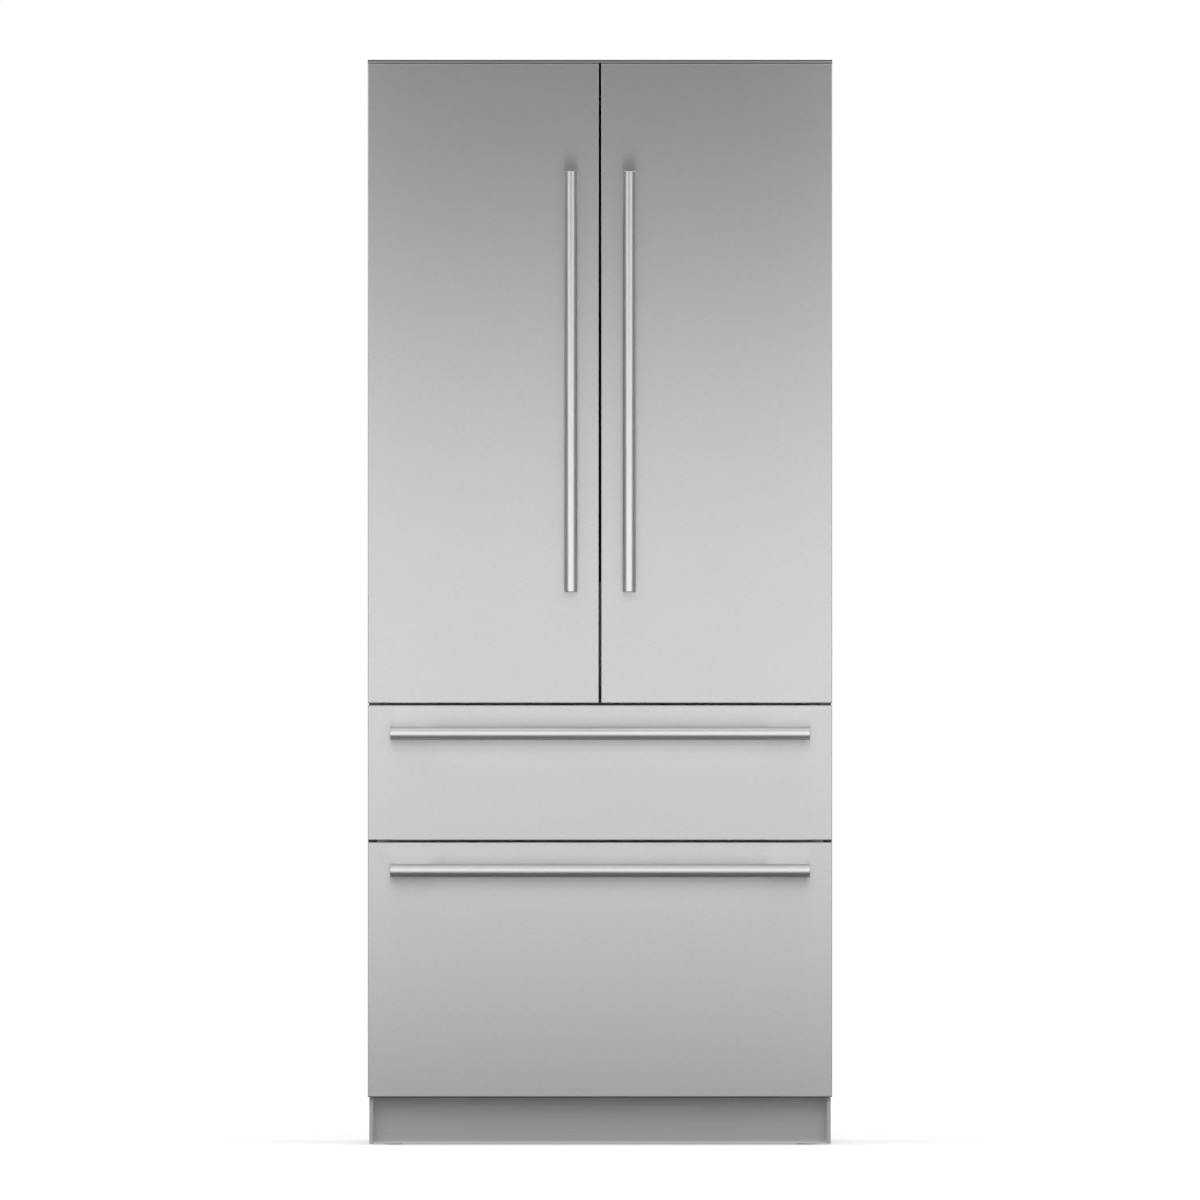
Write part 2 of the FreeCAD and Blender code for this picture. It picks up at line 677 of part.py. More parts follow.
def liner_faces(floor, ceiling):
    """The outer and inner faces of one liner cavity, as solids."""
    t = LINER_SHEET
    outer_depth = (FOAM_FRONT, LINER_BACK + t)
    outer = lined_box(LINER_HALF + t, outer_depth, (floor - t, ceiling + t), LINER_RADIUS + t)
    inner = lined_box(LINER_HALF, (FOAM_FRONT - CUT_OVER, LINER_BACK), (floor, ceiling), LINER_RADIUS)
    return outer, inner


def drawer_liner_faces():
    """The outer and inner faces of the twin-cavity liner below, as solids."""
    t = LINER_SHEET
    upper_outer, upper_inner = liner_faces(UPPER_FLOOR, UPPER_CEILING)
    lower_outer, lower_inner = liner_faces(FREEZER_FLOOR, FREEZER_CEILING)
    wide = 2 * WIDTH
    step_outer = block((-wide, wide), (STEP_FRONT + t, wide), (-wide, STEP_TOP - t))
    step_inner = block((-wide, wide), (STEP_FRONT, wide), (-wide, STEP_TOP))
    lower_outer = lower_outer.cut(step_outer)
    lower_inner = lower_inner.cut(step_inner)
    web = block(
        (-LINER_HALF - t, LINER_HALF + t), (FOAM_FRONT, FOAM_FRONT + t), (FREEZER_CEILING, UPPER_FLOOR)
    )
    outer = join([upper_outer, web, lower_outer])
    return outer, [upper_inner, lower_inner]


def make_food_liner():
    """The fresh food compartment's moulded wall."""
    outer, inner = liner_faces(FOOD_FLOOR, FOOD_CEILING)
    return outer.cut(inner)


def make_drawer_liner():
    """One moulding with the upper drawer's and the freezer's cavities."""
    outer, inners = drawer_liner_faces()
    for inner in inners:
        outer = outer.cut(inner)
    return outer


def make_cabinet_insulation():
    """The foam between the casing and the liners, stepped over the machine bay."""
    foam = block(
        (-CASING_IN, CASING_IN), (FOAM_FRONT, FOAM_BACK), (TOE_HEIGHT, CASING_TOP - CASING_SHEET)
    )
    bay = block((-WIDTH, WIDTH), (MACHINE_FRONT - DECK_PLATE, DEPTH), (0, MACHINE_HEIGHT))
    foam = foam.cut(bay)
    foam = foam.cut(liner_faces(FOOD_FLOOR, FOOD_CEILING)[0])
    return foam.cut(drawer_liner_faces()[0])


def make_front_rails():
    """The steel faces between and below the compartments."""
    limits = (
        (UPPER_CEILING, FOOD_FLOOR),
        (FREEZER_CEILING, UPPER_FLOOR),
        (TOE_HEIGHT, FREEZER_FLOOR),
    )
    depth = (CASING_FRONT, FOAM_FRONT)
    return Part.makeCompound([block((-LINER_HALF, LINER_HALF), depth, z) for z in limits])


def make_door_hinges():
    """Top and lower hinges: a plate with a pin for each corner of the doors."""
    hinges = []
    for side in (-1, 1):
        pivot_x, pivot_depth = hinge_pivot(side)
        outer_x = side * (HALF - HINGE_FROM_SIDE)
        inner_x = outer_x - side * HINGE_WIDTH
        bottom = UPPER_TOP + (REVEAL - HINGE_PLATE) / 2
        top = bottom + HINGE_PLATE
        arm = block((outer_x, inner_x), (HINGE_FROM_FACE, CASING_FRONT), (bottom, top))
        tab = block(
            (side * CASING_HALF, inner_x),
            (CASING_FRONT - HINGE_TAB, CASING_FRONT),
            (bottom - HINGE_TAB_HEIGHT, top),
        )
        pin_length = DOOR_BOTTOM + PIN_ENGAGEMENT - top
        pin = rod(PIN_DIAMETER / 2, pin_length, (pivot_x, pivot_depth, top), (0, 0, 1))
        hinges.append(join([arm, tab, pin]))
        arm_bottom = DOOR_TOP + TRIM_GAP
        arm_top = HEIGHT - TRIM_SHEET - HINGE_TRIM_CLEAR
        back = TRIM_DEPTH - TRIM_SHEET - HINGE_TRIM_CLEAR
        arm = block((outer_x, inner_x), (HINGE_FROM_FACE, back), (arm_bottom, arm_top))
        riser = block(
            (side * CASING_IN, inner_x), (back - HINGE_RISER_DEPTH, back), (CASING_TOP, arm_top)
        )
        foot = block(
            (side * CASING_IN, side * (CASING_IN - HINGE_FOOT_WIDTH)),
            (back - HINGE_RISER_DEPTH, back),
            (CASING_TOP, CASING_TOP + HINGE_PLATE),
        )
        pin_bottom = DOOR_TOP - PIN_ENGAGEMENT
        pin = rod(
            PIN_DIAMETER / 2, arm_bottom - pin_bottom, (pivot_x, pivot_depth, pin_bottom), (0, 0, 1)
        )
        hinges.append(join([arm, riser, foot, pin]))
    return Part.makeCompound(hinges)


# Base frame, feet and rollers
def foot_place(side):
    """Where a front foot's stem stands, as x and depth."""
    return side * (HALF - FOOT_FROM_SIDE), BEAM_FROM_FACE + BEAM_DEPTH / 2


def axle_place():
    """Depth and height of the rear axle."""
    return DEPTH - ROLLER_FROM_REAR, ROLLER_DIAMETER / 2


def make_base_frame():
    """The welded chassis: deck, machine bay, side rails, front beam and axle brackets."""
    back = COVER_FRONT
    deck_top = TOE_HEIGHT
    deck = block((-CASING_IN, CASING_IN), (FOAM_FRONT, MACHINE_FRONT), (deck_top - DECK_PLATE, deck_top))
    bay_wall = block(
        (-CASING_IN, CASING_IN),
        (MACHINE_FRONT - DECK_PLATE, MACHINE_FRONT),
        (deck_top - DECK_PLATE, MACHINE_HEIGHT),
    )
    bay_roof = block(
        (-CASING_IN, CASING_IN),
        (MACHINE_FRONT - DECK_PLATE, back),
        (MACHINE_HEIGHT - DECK_PLATE, MACHINE_HEIGHT),
    )
    tray_z = (FRAME_CLEAR, FRAME_CLEAR + FRAME_PLATE)
    tray = block((-CASING_IN, CASING_IN), (MACHINE_FRONT, back), tray_z)
    beam_depth = (BEAM_FROM_FACE, BEAM_FROM_FACE + BEAM_DEPTH)
    beam = block((-FRAME_HALF, FRAME_HALF), beam_depth, (deck_top - BEAM_HEIGHT, deck_top))
    pieces = [deck, bay_wall, bay_roof, tray, beam]
    axle_depth, axle_z = axle_place()
    for side in (-1, 1):
        x = (side * CASING_IN, side * FRAME_HALF)
        pieces.append(block(x, (TOE_BACK, back), (FRAME_CLEAR, deck_top)))
        pieces.append(block(x, (MACHINE_FRONT - DECK_PLATE, back), (FRAME_CLEAR, MACHINE_HEIGHT)))
        bracket_x = (side * FRAME_HALF, side * (FRAME_HALF - AXLE_BRACKET))
        bracket_depth = (axle_depth - AXLE_BRACKET_DEPTH / 2, axle_depth + AXLE_BRACKET_DEPTH / 2)
        bracket_z = (axle_z - AXLE_DIAMETER / 2 - AXLE_BRACKET_BELOW, tray_z[1])
        pieces.append(block(bracket_x, bracket_depth, bracket_z))
    frame = join(pieces)
    for side in (-1, 1):
        x, depth = foot_place(side)
        bore = FOOT_STEM / 2 + FOOT_STEM_CLEAR
        frame = frame.cut(rod(bore, BEAM_HEIGHT, (x, depth, deck_top - BEAM_HEIGHT), (0, 0, 1)))
        axle_start = (side * (FRAME_HALF + CUT_OVER), axle_depth, axle_z)
        hole = rod(AXLE_DIAMETER / 2 + AXLE_CLEAR, AXLE_BRACKET + 2 * CUT_OVER, axle_start, (-side, 0, 0))
        frame = frame.cut(hole)
        roller_x = side * (HALF - ROLLER_FROM_SIDE)
        reach = ROLLER_WIDTH / 2 + ROLLER_CUTOUT_CLEAR
        swing = ROLLER_DIAMETER / 2 + ROLLER_CUTOUT_CLEAR
        window_x = (roller_x - reach, roller_x + reach)
        window_depth = (axle_depth - swing, axle_depth + swing)
        frame = frame.cut(block(window_x, window_depth, (0, tray_z[1] + CUT_OVER)))
    return frame


def make_foot(side):
    """A levelling foot: a threaded stem, drawn plain, on a round pad."""
    x, depth = foot_place(side)
    pad = rod(FOOT_PAD / 2, FOOT_PAD_HEIGHT, (x, depth, 0), (0, 0, 1))
    pad = round_edges(pad, FOOT_PAD_HEIGHT / 4, lambda edge: lies_at_height(edge, FOOT_PAD_HEIGHT))
    stem_top = TOE_HEIGHT - DECK_PLATE - FOOT_STEM_TOP_GAP
    stem = rod(FOOT_STEM / 2, stem_top, (x, depth, 0), (0, 0, 1))
    return join([pad, stem])


def make_rear_rollers():
    """Two rollers on one axle that runs under the machine bay."""
    depth, z = axle_place()
    half_axle = FRAME_HALF
    pieces = [rod(AXLE_DIAMETER / 2, 2 * half_axle, (-half_axle, depth, z), (1, 0, 0))]
    for side in (-1, 1):
        start = (side * (HALF - ROLLER_FROM_SIDE) - ROLLER_WIDTH / 2, depth, z)
        wheel = rod(ROLLER_DIAMETER / 2, ROLLER_WIDTH, start, (1, 0, 0))
        rims = [e for e in wheel.Edges if isinstance(e.Curve, Part.Circle)]
        pieces.append(wheel.makeFillet(ROLLER_EDGE_RADIUS, rims))
    return join(pieces)


# Drawer slides and bins
def channel(side, back_x, lip_x, half_height, depth, z):
    """A slide member of C section, open towards the middle of the cabinet."""
    sheet_x = back_x - SLIDE_SHEET
    web = block((side * back_x, side * sheet_x), depth, (z - half_height, z + half_height))
    pieces = [web]
    for sign in (-1, 1):
        edge = z + sign * half_height
        limits = (edge, edge - sign * SLIDE_SHEET)
        pieces.append(block((side * sheet_x, side * lip_x), depth, limits))
    return join(pieces)


def upper_slide_depth():
    """Front and rear ends of the upper drawer's slides."""
    return SLIDE_FRONT, LINER_BACK - SLIDE_HEEL


def lower_slide_depth():
    """Front and rear ends of the lower drawer's slides, clear of the air cover."""
    return SLIDE_FRONT, AIR_COVER_FRONT - SLIDE_HEEL / 2


def make_cabinet_slides():
    """The four fixed members on the liner walls."""
    members = []
    for depth, z in ((upper_slide_depth(), UPPER_SLIDE_Z), (lower_slide_depth(), LOWER_SLIDE_Z)):
        for side in (-1, 1):
            lip_x = LINER_HALF - SLIDE_SHEET - SLIDE_LIP
            members.append(channel(side, LINER_HALF, lip_x, SLIDE_HEIGHT / 2, depth, z))
    return Part.makeCompound(members)


def make_mid_slides(depth, z):
    """The pair of intermediate members that ride in the fixed ones."""
    half = SLIDE_HEIGHT / 2 - SLIDE_SHEET - SLIDE_CLEAR
    lip_x = MID_BACK_X - SLIDE_SHEET - SLIDE_LIP + SLIDE_CLEAR
    return Part.makeCompound([channel(side, MID_BACK_X, lip_x, half, depth, z) for side in (-1, 1)])


def make_drawer_slides(depth, z):
    """The pair of bars that carry the bin, each bracketed to the drawer front."""
    front = FRONT_DEPTH + FIELD_HEIGHT
    bars = []
    for side in (-1, 1):
        bar_z = (z - BAR_HALF_HEIGHT, z + BAR_HALF_HEIGHT)
        bar = block((side * BAR_BACK_X, side * BAR_IN_X), (front, depth[1]), bar_z)
        bracket = block(
            (side * (LINER_HALF - DIKE_CLEAR), side * (BAR_IN_X - SLIDE_BRACKET_DROP)),
            (front, front + SLIDE_BRACKET),
            (z - BAR_HALF_HEIGHT - SLIDE_BRACKET_DROP, z + BAR_HALF_HEIGHT),
        )
        bars.append(join([bar, bracket]))
    return Part.makeCompound(bars)


def make_bin(bottom, rim_bottom, back):
    """A drawer bin that hangs by its side rims on the slide bars."""
    top = rim_bottom + BIN_RIM
    tray = open_tray((-BIN_HALF, BIN_HALF), (BIN_FRONT, back), (bottom, top), BIN_SHEET, BIN_RADIUS)
    pieces = [tray]
    for side in (-1, 1):
        inner = side * (BIN_HALF - BIN_SHEET)
        outer = side * (BAR_IN_X + BIN_RIM_WIDTH)
        depth = (BIN_FRONT + BIN_RADIUS, back - BIN_RADIUS)
        pieces.append(block((inner, outer), depth, (rim_bottom, top)))
    return join(pieces)


def make_freezer_tray():
    """A half-depth tray that slides fore and aft on the rim of the lower bin."""
    rim_bottom = LOWER_SLIDE_Z + BAR_HALF_HEIGHT + BIN_RIM + TRAY_RIM_GAP
    top = rim_bottom + BIN_RIM
    half = BIN_HALF - BIN_SHEET - TRAY_SIDE_GAP
    front = BIN_FRONT + BIN_SHEET + TRAY_SIDE_GAP
    depth = (front, front + TRAY_DEPTH)
    tray = open_tray((-half, half), depth, (top - TRAY_HEIGHT, top), BIN_SHEET, TRAY_RADIUS)
    pieces = [tray]
    for side in (-1, 1):
        x = (side * (half - BIN_SHEET), side * BAR_IN_X)
        pieces.append(block(x, (front + TRAY_RADIUS, front + TRAY_DEPTH - TRAY_RADIUS), (rim_bottom, top)))
    return join(pieces)


# Fresh food fittings
def ladder_places():
    """The x places of the four slotted rails that the shelves hook into."""
    outer = LINER_HALF - DUCT_SIDE_GAP - LADDER_FROM_EDGE
    return (-outer, -LADDER_FROM_CENTRE, LADDER_FROM_CENTRE, outer)


def duct_limits():
    """The air panel's limits of z."""
    return CRISPER_SHELF_TOP + DUCT_BOTTOM_ABOVE_CRISPER, FOOD_CEILING - DUCT_TOP_GAP


def make_fresh_air_panel():
    """The rear air panel, a shallow pan with outlets and four slotted shelf rails."""
    half = LINER_HALF - DUCT_SIDE_GAP
    bottom, top = duct_limits()
    pan = block((-half, half), (DUCT_FRONT, LINER_BACK), (bottom, top))
    t = DUCT_PANEL_SHEET
    hollow = block((-half + t, half - t), (DUCT_FRONT + t, LINER_BACK + CUT_OVER), (bottom + t, top - t))
    pan = pan.cut(hollow)
    rails = []
    for x in ladder_places():
        x_limits = (x - LADDER_WIDTH / 2, x + LADDER_WIDTH / 2)
        rails.append(block(x_limits, (DUCT_FRONT - LADDER_DEPTH, DUCT_FRONT), (bottom, top)))
    panel = join([pan] + rails)
    cuts = []
    count = int((top - bottom) / LADDER_SLOT_PITCH) - 1
    for x in ladder_places():
        for number in range(count):
            z = bottom + LADDER_SLOT_PITCH * (number + 1)
            x_limits = (x - LADDER_SLOT_WIDTH / 2, x + LADDER_SLOT_WIDTH / 2)
            depth = (DUCT_FRONT - LADDER_DEPTH - CUT_OVER, DUCT_FRONT)
            cuts.append(block(x_limits, depth, (z, z + LADDER_SLOT_HEIGHT)))
    for side in (-1, 1):
        centre = side * half / 2
        for row in range(DUCT_SLOT_ROWS):
            z = top - DUCT_SLOT_PITCH * (row + 2)
            x_limits = (centre - DUCT_SLOT_WIDTH / 2, centre + DUCT_SLOT_WIDTH / 2)
            depth = (DUCT_FRONT - CUT_OVER, DUCT_FRONT + t + CUT_OVER)
            cuts.append(block(x_limits, depth, (z, z + DUCT_SLOT_HEIGHT)))
    return panel.cut(Part.makeCompound(cuts))


def shelf_columns():
    """Each shelf column: its x limits, its two rails and the heights of its glass."""
    outer = LINER_HALF - SHELF_SIDE_GAP
    rails = ladder_places()
    left = ((-outer, -SHELF_CENTRE_GAP), rails[:2], LEFT_SHELVES_ABOVE_CRISPER)
    right = ((SHELF_CENTRE_GAP, outer), rails[2:], RIGHT_SHELVES_ABOVE_CRISPER)
    return left, right


def make_shelf_frame(x, rails, glass_bottom):
    """Two tapered brackets that hook into the rails, joined by a front trim."""
    hook_depth = DUCT_FRONT - LADDER_DEPTH
    trim_bottom = glass_bottom + SHELF_GLASS - SHELF_TRIM_HEIGHT
    trim_depth = (SHELF_FRONT, SHELF_FRONT + SHELF_TRIM_DEPTH)
    trim = block(x, trim_depth, (trim_bottom, glass_bottom))
    nose_back = SHELF_FRONT + SHELF_TRIM_DEPTH / 2
    nose = block(x, (SHELF_FRONT, nose_back), (trim_bottom, glass_bottom + SHELF_GLASS))
    pieces = [trim, nose]
    for rail_x in rails:
        start = rail_x - SHELF_BRACKET / 2
        profile = [
            FreeCAD.Vector(start, FACE_Y + nose_back, glass_bottom),
            FreeCAD.Vector(start, FACE_Y + hook_depth, glass_bottom),
            FreeCAD.Vector(start, FACE_Y + hook_depth, glass_bottom - SHELF_BRACKET_ROOT),
            FreeCAD.Vector(start, FACE_Y + nose_back, glass_bottom - SHELF_BRACKET_TIP),
        ]
        face = Part.Face(Part.makePolygon(profile + profile[:1]))
        pieces.append(face.extrude(FreeCAD.Vector(SHELF_BRACKET, 0, 0)))
    return join(pieces)


def make_crisper_frame():
    """The stand over the crispers: a rim for the glass, on three upright plates."""
    half = LINER_HALF - CRISPER_STAND_GAP
    top = CRISPER_SHELF_TOP - SHELF_GLASS
    z = (top - CRISPER_FRAME_HEIGHT, top)
    depth = (SHELF_FRONT, DUCT_FRONT)
    hole = block(
        (-half + CRISPER_FRAME_WIDTH, half - CRISPER_FRAME_WIDTH),
        (SHELF_FRONT + CRISPER_FRAME_WIDTH, DUCT_FRONT - CRISPER_FRAME_WIDTH),
        (z[0] - CUT_OVER, z[1] + CUT_OVER),
    )
    rim = block((-half, half), depth, z).cut(hole)
    nose = block((-half, half), (SHELF_FRONT, SHELF_FRONT + SHELF_TRIM_DEPTH / 2), (z[0], CRISPER_SHELF_TOP))
    pieces = [rim, nose]
    for x in (-half + CRISPER_LEG / 2, 0, half - CRISPER_LEG / 2):
        x_limits = (x - CRISPER_LEG / 2, x + CRISPER_LEG / 2)
        pieces.append(block(x_limits, (CRISPER_FRONT, DUCT_FRONT), (FOOD_FLOOR, z[1])))
    return join(pieces)


def make_shelf_frames():
    """Every shelf's metal frame, and the stand over the crispers."""
    frames = [make_crisper_frame()]
    for x, rails, heights in shelf_columns():
        for height in heights:
            frames.append(make_shelf_frame(x, rails, CRISPER_SHELF_TOP + height))
    return Part.makeCompound(frames)


def make_shelf_glass():
    """Every pane: the shelves and the cover over the crispers."""
    near = SHELF_FRONT + SHELF_TRIM_DEPTH / 2
    half = LINER_HALF - CRISPER_STAND_GAP
    cover_z = (CRISPER_SHELF_TOP - SHELF_GLASS, CRISPER_SHELF_TOP)
    panes = [block((-half, half), (near, DUCT_FRONT), cover_z)]
    for x, _, heights in shelf_columns():
        for height in heights:
            bottom = CRISPER_SHELF_TOP + height
            panes.append(block(x, (near, DUCT_FRONT - LADDER_DEPTH), (bottom, bottom + SHELF_GLASS)))
    return Part.makeCompound(panes)


def make_crisper(side):
    """A clear vegetable drawer with a grip lip along its front."""
    inner = CRISPER_LEG / 2 + CRISPER_GAP
    outer = LINER_HALF - CRISPER_STAND_GAP - CRISPER_LEG - CRISPER_GAP
    x = (side * inner, side * outer)
    back = DUCT_FRONT - CRISPER_BACK_GAP
    top = CRISPER_SHELF_TOP - SHELF_GLASS - CRISPER_FRAME_HEIGHT - CRISPER_HEADROOM
    z = (FOOD_FLOOR + CRISPER_FLOOR_GAP, top)
    tray = open_tray(x, (CRISPER_FRONT, back), z, CRISPER_SHEET, CRISPER_RADIUS)
    lip_x = (side * (inner + CRISPER_RADIUS), side * (outer - CRISPER_RADIUS))
    lip_depth = (CRISPER_FRONT + CRISPER_SHEET, CRISPER_FRONT + CRISPER_LIP_DEPTH)
    lip = block(lip_x, lip_depth, (top - CRISPER_LIP_HEIGHT, top - CRISPER_LIP_HEIGHT + CRISPER_SHEET))
    return join([tray, lip])


def make_control_panel():
    """The touch control housing under the ceiling, with a sloped front."""
    half = CONTROL_WIDTH / 2
    depth = (CONTROL_FROM_FACE, CONTROL_FROM_FACE + CONTROL_DEPTH)
    shape = block((-half, half), depth, (FOOD_CEILING - CONTROL_HEIGHT, FOOD_CEILING))
    low_front = [
        edge
        for edge in shape.Edges
        if runs_along(edge, "x")
        and lies_at_depth(edge, depth[0])
        and lies_at_height(edge, FOOD_CEILING - CONTROL_HEIGHT)
    ]
    return shape.makeChamfer(CONTROL_CHAMFER, low_front)


# Machine bay and freezer air system
def bay_floor():
    """The height that the machines stand on."""
    return FRAME_CLEAR + FRAME_PLATE


def bay_middle():
    """Depth of the machine bay's middle."""
    return (MACHINE_FRONT + COVER_FRONT) / 2


def make_compressor():
    """A domed hermetic compressor on a base plate with four rubber feet and two pipe stubs."""
    x, depth, floor = COMPRESSOR_FROM_SIDE - CASING_HALF, bay_middle(), bay_floor()
    base_bottom = floor + COMPRESSOR_FOOT_HEIGHT
    shell_bottom = base_bottom + COMPRESSOR_BASE
    shell = rod(COMPRESSOR_RADIUS, COMPRESSOR_HEIGHT, (x, depth, shell_bottom), (0, 0, 1))
    rims = [edge for edge in shell.Edges if isinstance(edge.Curve, Part.Circle)]
    shell = shell.makeFillet(COMPRESSOR_DOME, rims)
    reach = COMPRESSOR_RADIUS + COMPRESSOR_BASE_MARGIN
    base = block((x - reach, x + reach), (depth - reach, depth + reach), (base_bottom, shell_bottom))
    seam_z = shell_bottom + COMPRESSOR_HEIGHT / 2
    seam = rod(COMPRESSOR_RADIUS + COMPRESSOR_BASE, COMPRESSOR_BASE * 2, (x, depth, seam_z), (0, 0, 1))
    pieces = [shell, base, seam]
    offset = reach - COMPRESSOR_FOOT_RADIUS
    for along in (-offset, offset):
        for across in (-offset, offset):
            start = (x + along, depth + across, floor)
            pieces.append(rod(COMPRESSOR_FOOT_RADIUS, COMPRESSOR_FOOT_HEIGHT, start, (0, 0, 1)))
    for across in (-COMPRESSOR_RADIUS / 2, COMPRESSOR_RADIUS / 2):
        start = (x, depth + across, seam_z)
        length = COMPRESSOR_HEIGHT / 2 + COMPRESSOR_DOME / 2
        pieces.append(rod(TUBE_DIAMETER / 2, length, start, (0, 0, 1)))
    terminal_x = (x, x + COMPRESSOR_RADIUS + COMPRESSOR_BASE_MARGIN)
    terminal_depth = (depth - offset / 2, depth + offset / 2)
    terminal = block(terminal_x, terminal_depth, (shell_bottom, seam_z + offset / 2))
    return join(pieces + [terminal])


def make_fan(radius, front, centre, direction):
    """An axial fan: a hub and pitched blades, with a bore for the motor shaft."""
    hub = Part.makeCylinder(FAN_HUB_RADIUS, FAN_DEPTH)
    pieces = [hub]
    for number in range(FAN_BLADES):
        blade = Part.makeBox(
            radius - FAN_HUB_RADIUS / 2,
            FAN_BLADE_CHORD,
            FAN_BLADE_SHEET,
            FreeCAD.Vector(FAN_HUB_RADIUS / 2, -FAN_BLADE_CHORD / 2, -FAN_BLADE_SHEET / 2),
        )
        blade.rotate(FreeCAD.Vector(0, 0, 0), FreeCAD.Vector(1, 0, 0), FAN_BLADE_PITCH)
        blade.translate(FreeCAD.Vector(0, 0, FAN_DEPTH / 2))
        blade.rotate(FreeCAD.Vector(0, 0, 0), FreeCAD.Vector(0, 0, 1), 360.0 / FAN_BLADES * number)
        pieces.append(blade)
    sweep = Part.makeCylinder(radius, FAN_DEPTH)
    fan = join(pieces).common(sweep)
    fan = fan.cut(Part.makeCylinder(FAN_SHAFT / 2 + FAN_SHAFT_CLEAR, FAN_DEPTH))
    turn = FreeCAD.Rotation(FreeCAD.Vector(0, 0, 1), FreeCAD.Vector(*direction))
    place = FreeCAD.Vector(centre[0], FACE_Y + centre[1], centre[2]) + FreeCAD.Vector(*direction) * front
    fan.Placement = FreeCAD.Placement(place, turn)
    return fan


def pan_limits():
    """The drain pan's limits of x."""
    outer = CASING_HALF - PAN_FROM_SIDE
    return outer - PAN_WIDTH, outer


def condenser_limits():
    """The condenser block's limits of x, depth and z."""
    far = min(pan_limits()) - CONDENSER_FROM_PAN
    x = (far - CONDENSER_THICK, far)
    depth = (MACHINE_FRONT + CONDENSER_MARGIN, COVER_FRONT - CONDENSER_MARGIN)
    z = (bay_floor(), MACHINE_HEIGHT - DECK_PLATE - CONDENSER_MARGIN)
    return x, depth, z


def condenser_fan_place():
    """Centre of the condenser fan's shroud (x, depth, z) and the fan's radius."""
    x, depth, z = condenser_limits()
    centre = (x[0] - SHROUD_SHEET, sum(depth) / 2, sum(z) / 2)
    opening = min(depth[1] - depth[0], z[1] - z[0]) / 2 - SHROUD_MARGIN
    return centre, opening


def make_condenser():
    """A finned tube block with its fan shroud, the motor on struts, and the motor's shaft."""
    x, depth, z = condenser_limits()
    pitch = (z[1] - z[0] - FIN_SHEET) / (CONDENSER_FINS - 1)
    pieces = []
    for number in range(CONDENSER_FINS):
        low = z[0] + number * pitch
        pieces.append(block(x, depth, (low, low + FIN_SHEET)))
    for column in range(CONDENSER_TUBE_COLUMNS):
        tube_x = x[0] + CONDENSER_THICK * (column + 0.5) / CONDENSER_TUBE_COLUMNS
        for row in range(CONDENSER_TUBE_ROWS):
            tube_depth = depth[0] + (depth[1] - depth[0]) * (row + 0.5) / CONDENSER_TUBE_ROWS
            pieces.append(rod(TUBE_DIAMETER / 2, z[1] - z[0], (tube_x, tube_depth, z[0]), (0, 0, 1)))
    centre, opening = condenser_fan_place()
    shroud = block((x[0] - SHROUD_SHEET, x[0]), depth, z)
    hole_start = (centre[0] - CUT_OVER, centre[1], centre[2])
    shroud = shroud.cut(rod(opening, SHROUD_SHEET + 2 * CUT_OVER, hole_start, (1, 0, 0)))
    pieces.append(shroud)
    for number in range(STRUT_COUNT):
        strut = Part.makeBox(
            SHROUD_SHEET,
            opening + SHROUD_MARGIN / 2,
            STRUT_WIDTH,
            FreeCAD.Vector(centre[0], FACE_Y + centre[1], centre[2] - STRUT_WIDTH / 2),
        )
        pivot = FreeCAD.Vector(centre[0], FACE_Y + centre[1], centre[2])
        strut.rotate(pivot, FreeCAD.Vector(1, 0, 0), 90.0 + 360.0 / STRUT_COUNT * number)
        pieces.append(strut)
    pieces.append(rod(MOTOR_RADIUS, MOTOR_LENGTH + SHROUD_SHEET, centre, (1, 0, 0)))
    pieces.append(rod(FAN_SHAFT / 2, FAN_PLAY + FAN_DEPTH, centre, (-1, 0, 0)))
    return join(pieces)


def make_condenser_fan():
    """The fan that draws air through the condenser and blows it over the compressor."""
    centre, opening = condenser_fan_place()
    return make_fan(opening - FAN_TIP_CLEAR, FAN_PLAY, centre, (-1, 0, 0))


def make_drain_pan():
    """The tray that catches and evaporates the defrost water."""
    floor = bay_floor()
    depth = (MACHINE_FRONT + PAN_MARGIN, COVER_FRONT - PAN_MARGIN)
    return open_tray(pan_limits(), depth, (floor, floor + PAN_HEIGHT), PAN_SHEET, PAN_MARGIN)


def make_gland(z):
    """The bushing of the mains lead: a flange and a tapered nose with a blind bore."""
    stand = DEPTH - GLAND_INSIDE - REAR_FACE
    backwards = FreeCAD.Vector(0, 1, 0)
    foot = FreeCAD.Vector(0, FACE_Y + REAR_FACE, z)
    nose = Part.makeCone(GLAND_ROOT_RADIUS, GLAND_END_RADIUS, stand, foot, backwards)
    flange = rod(GLAND_FLANGE_RADIUS, GLAND_FLANGE, (0, REAR_FACE, z), (0, 1, 0))
    bore = rod(GLAND_BORE_RADIUS, stand, (0, REAR_FACE + GLAND_FLANGE, z), (0, 1, 0))
    return nose.fuse(flange).cut(bore)


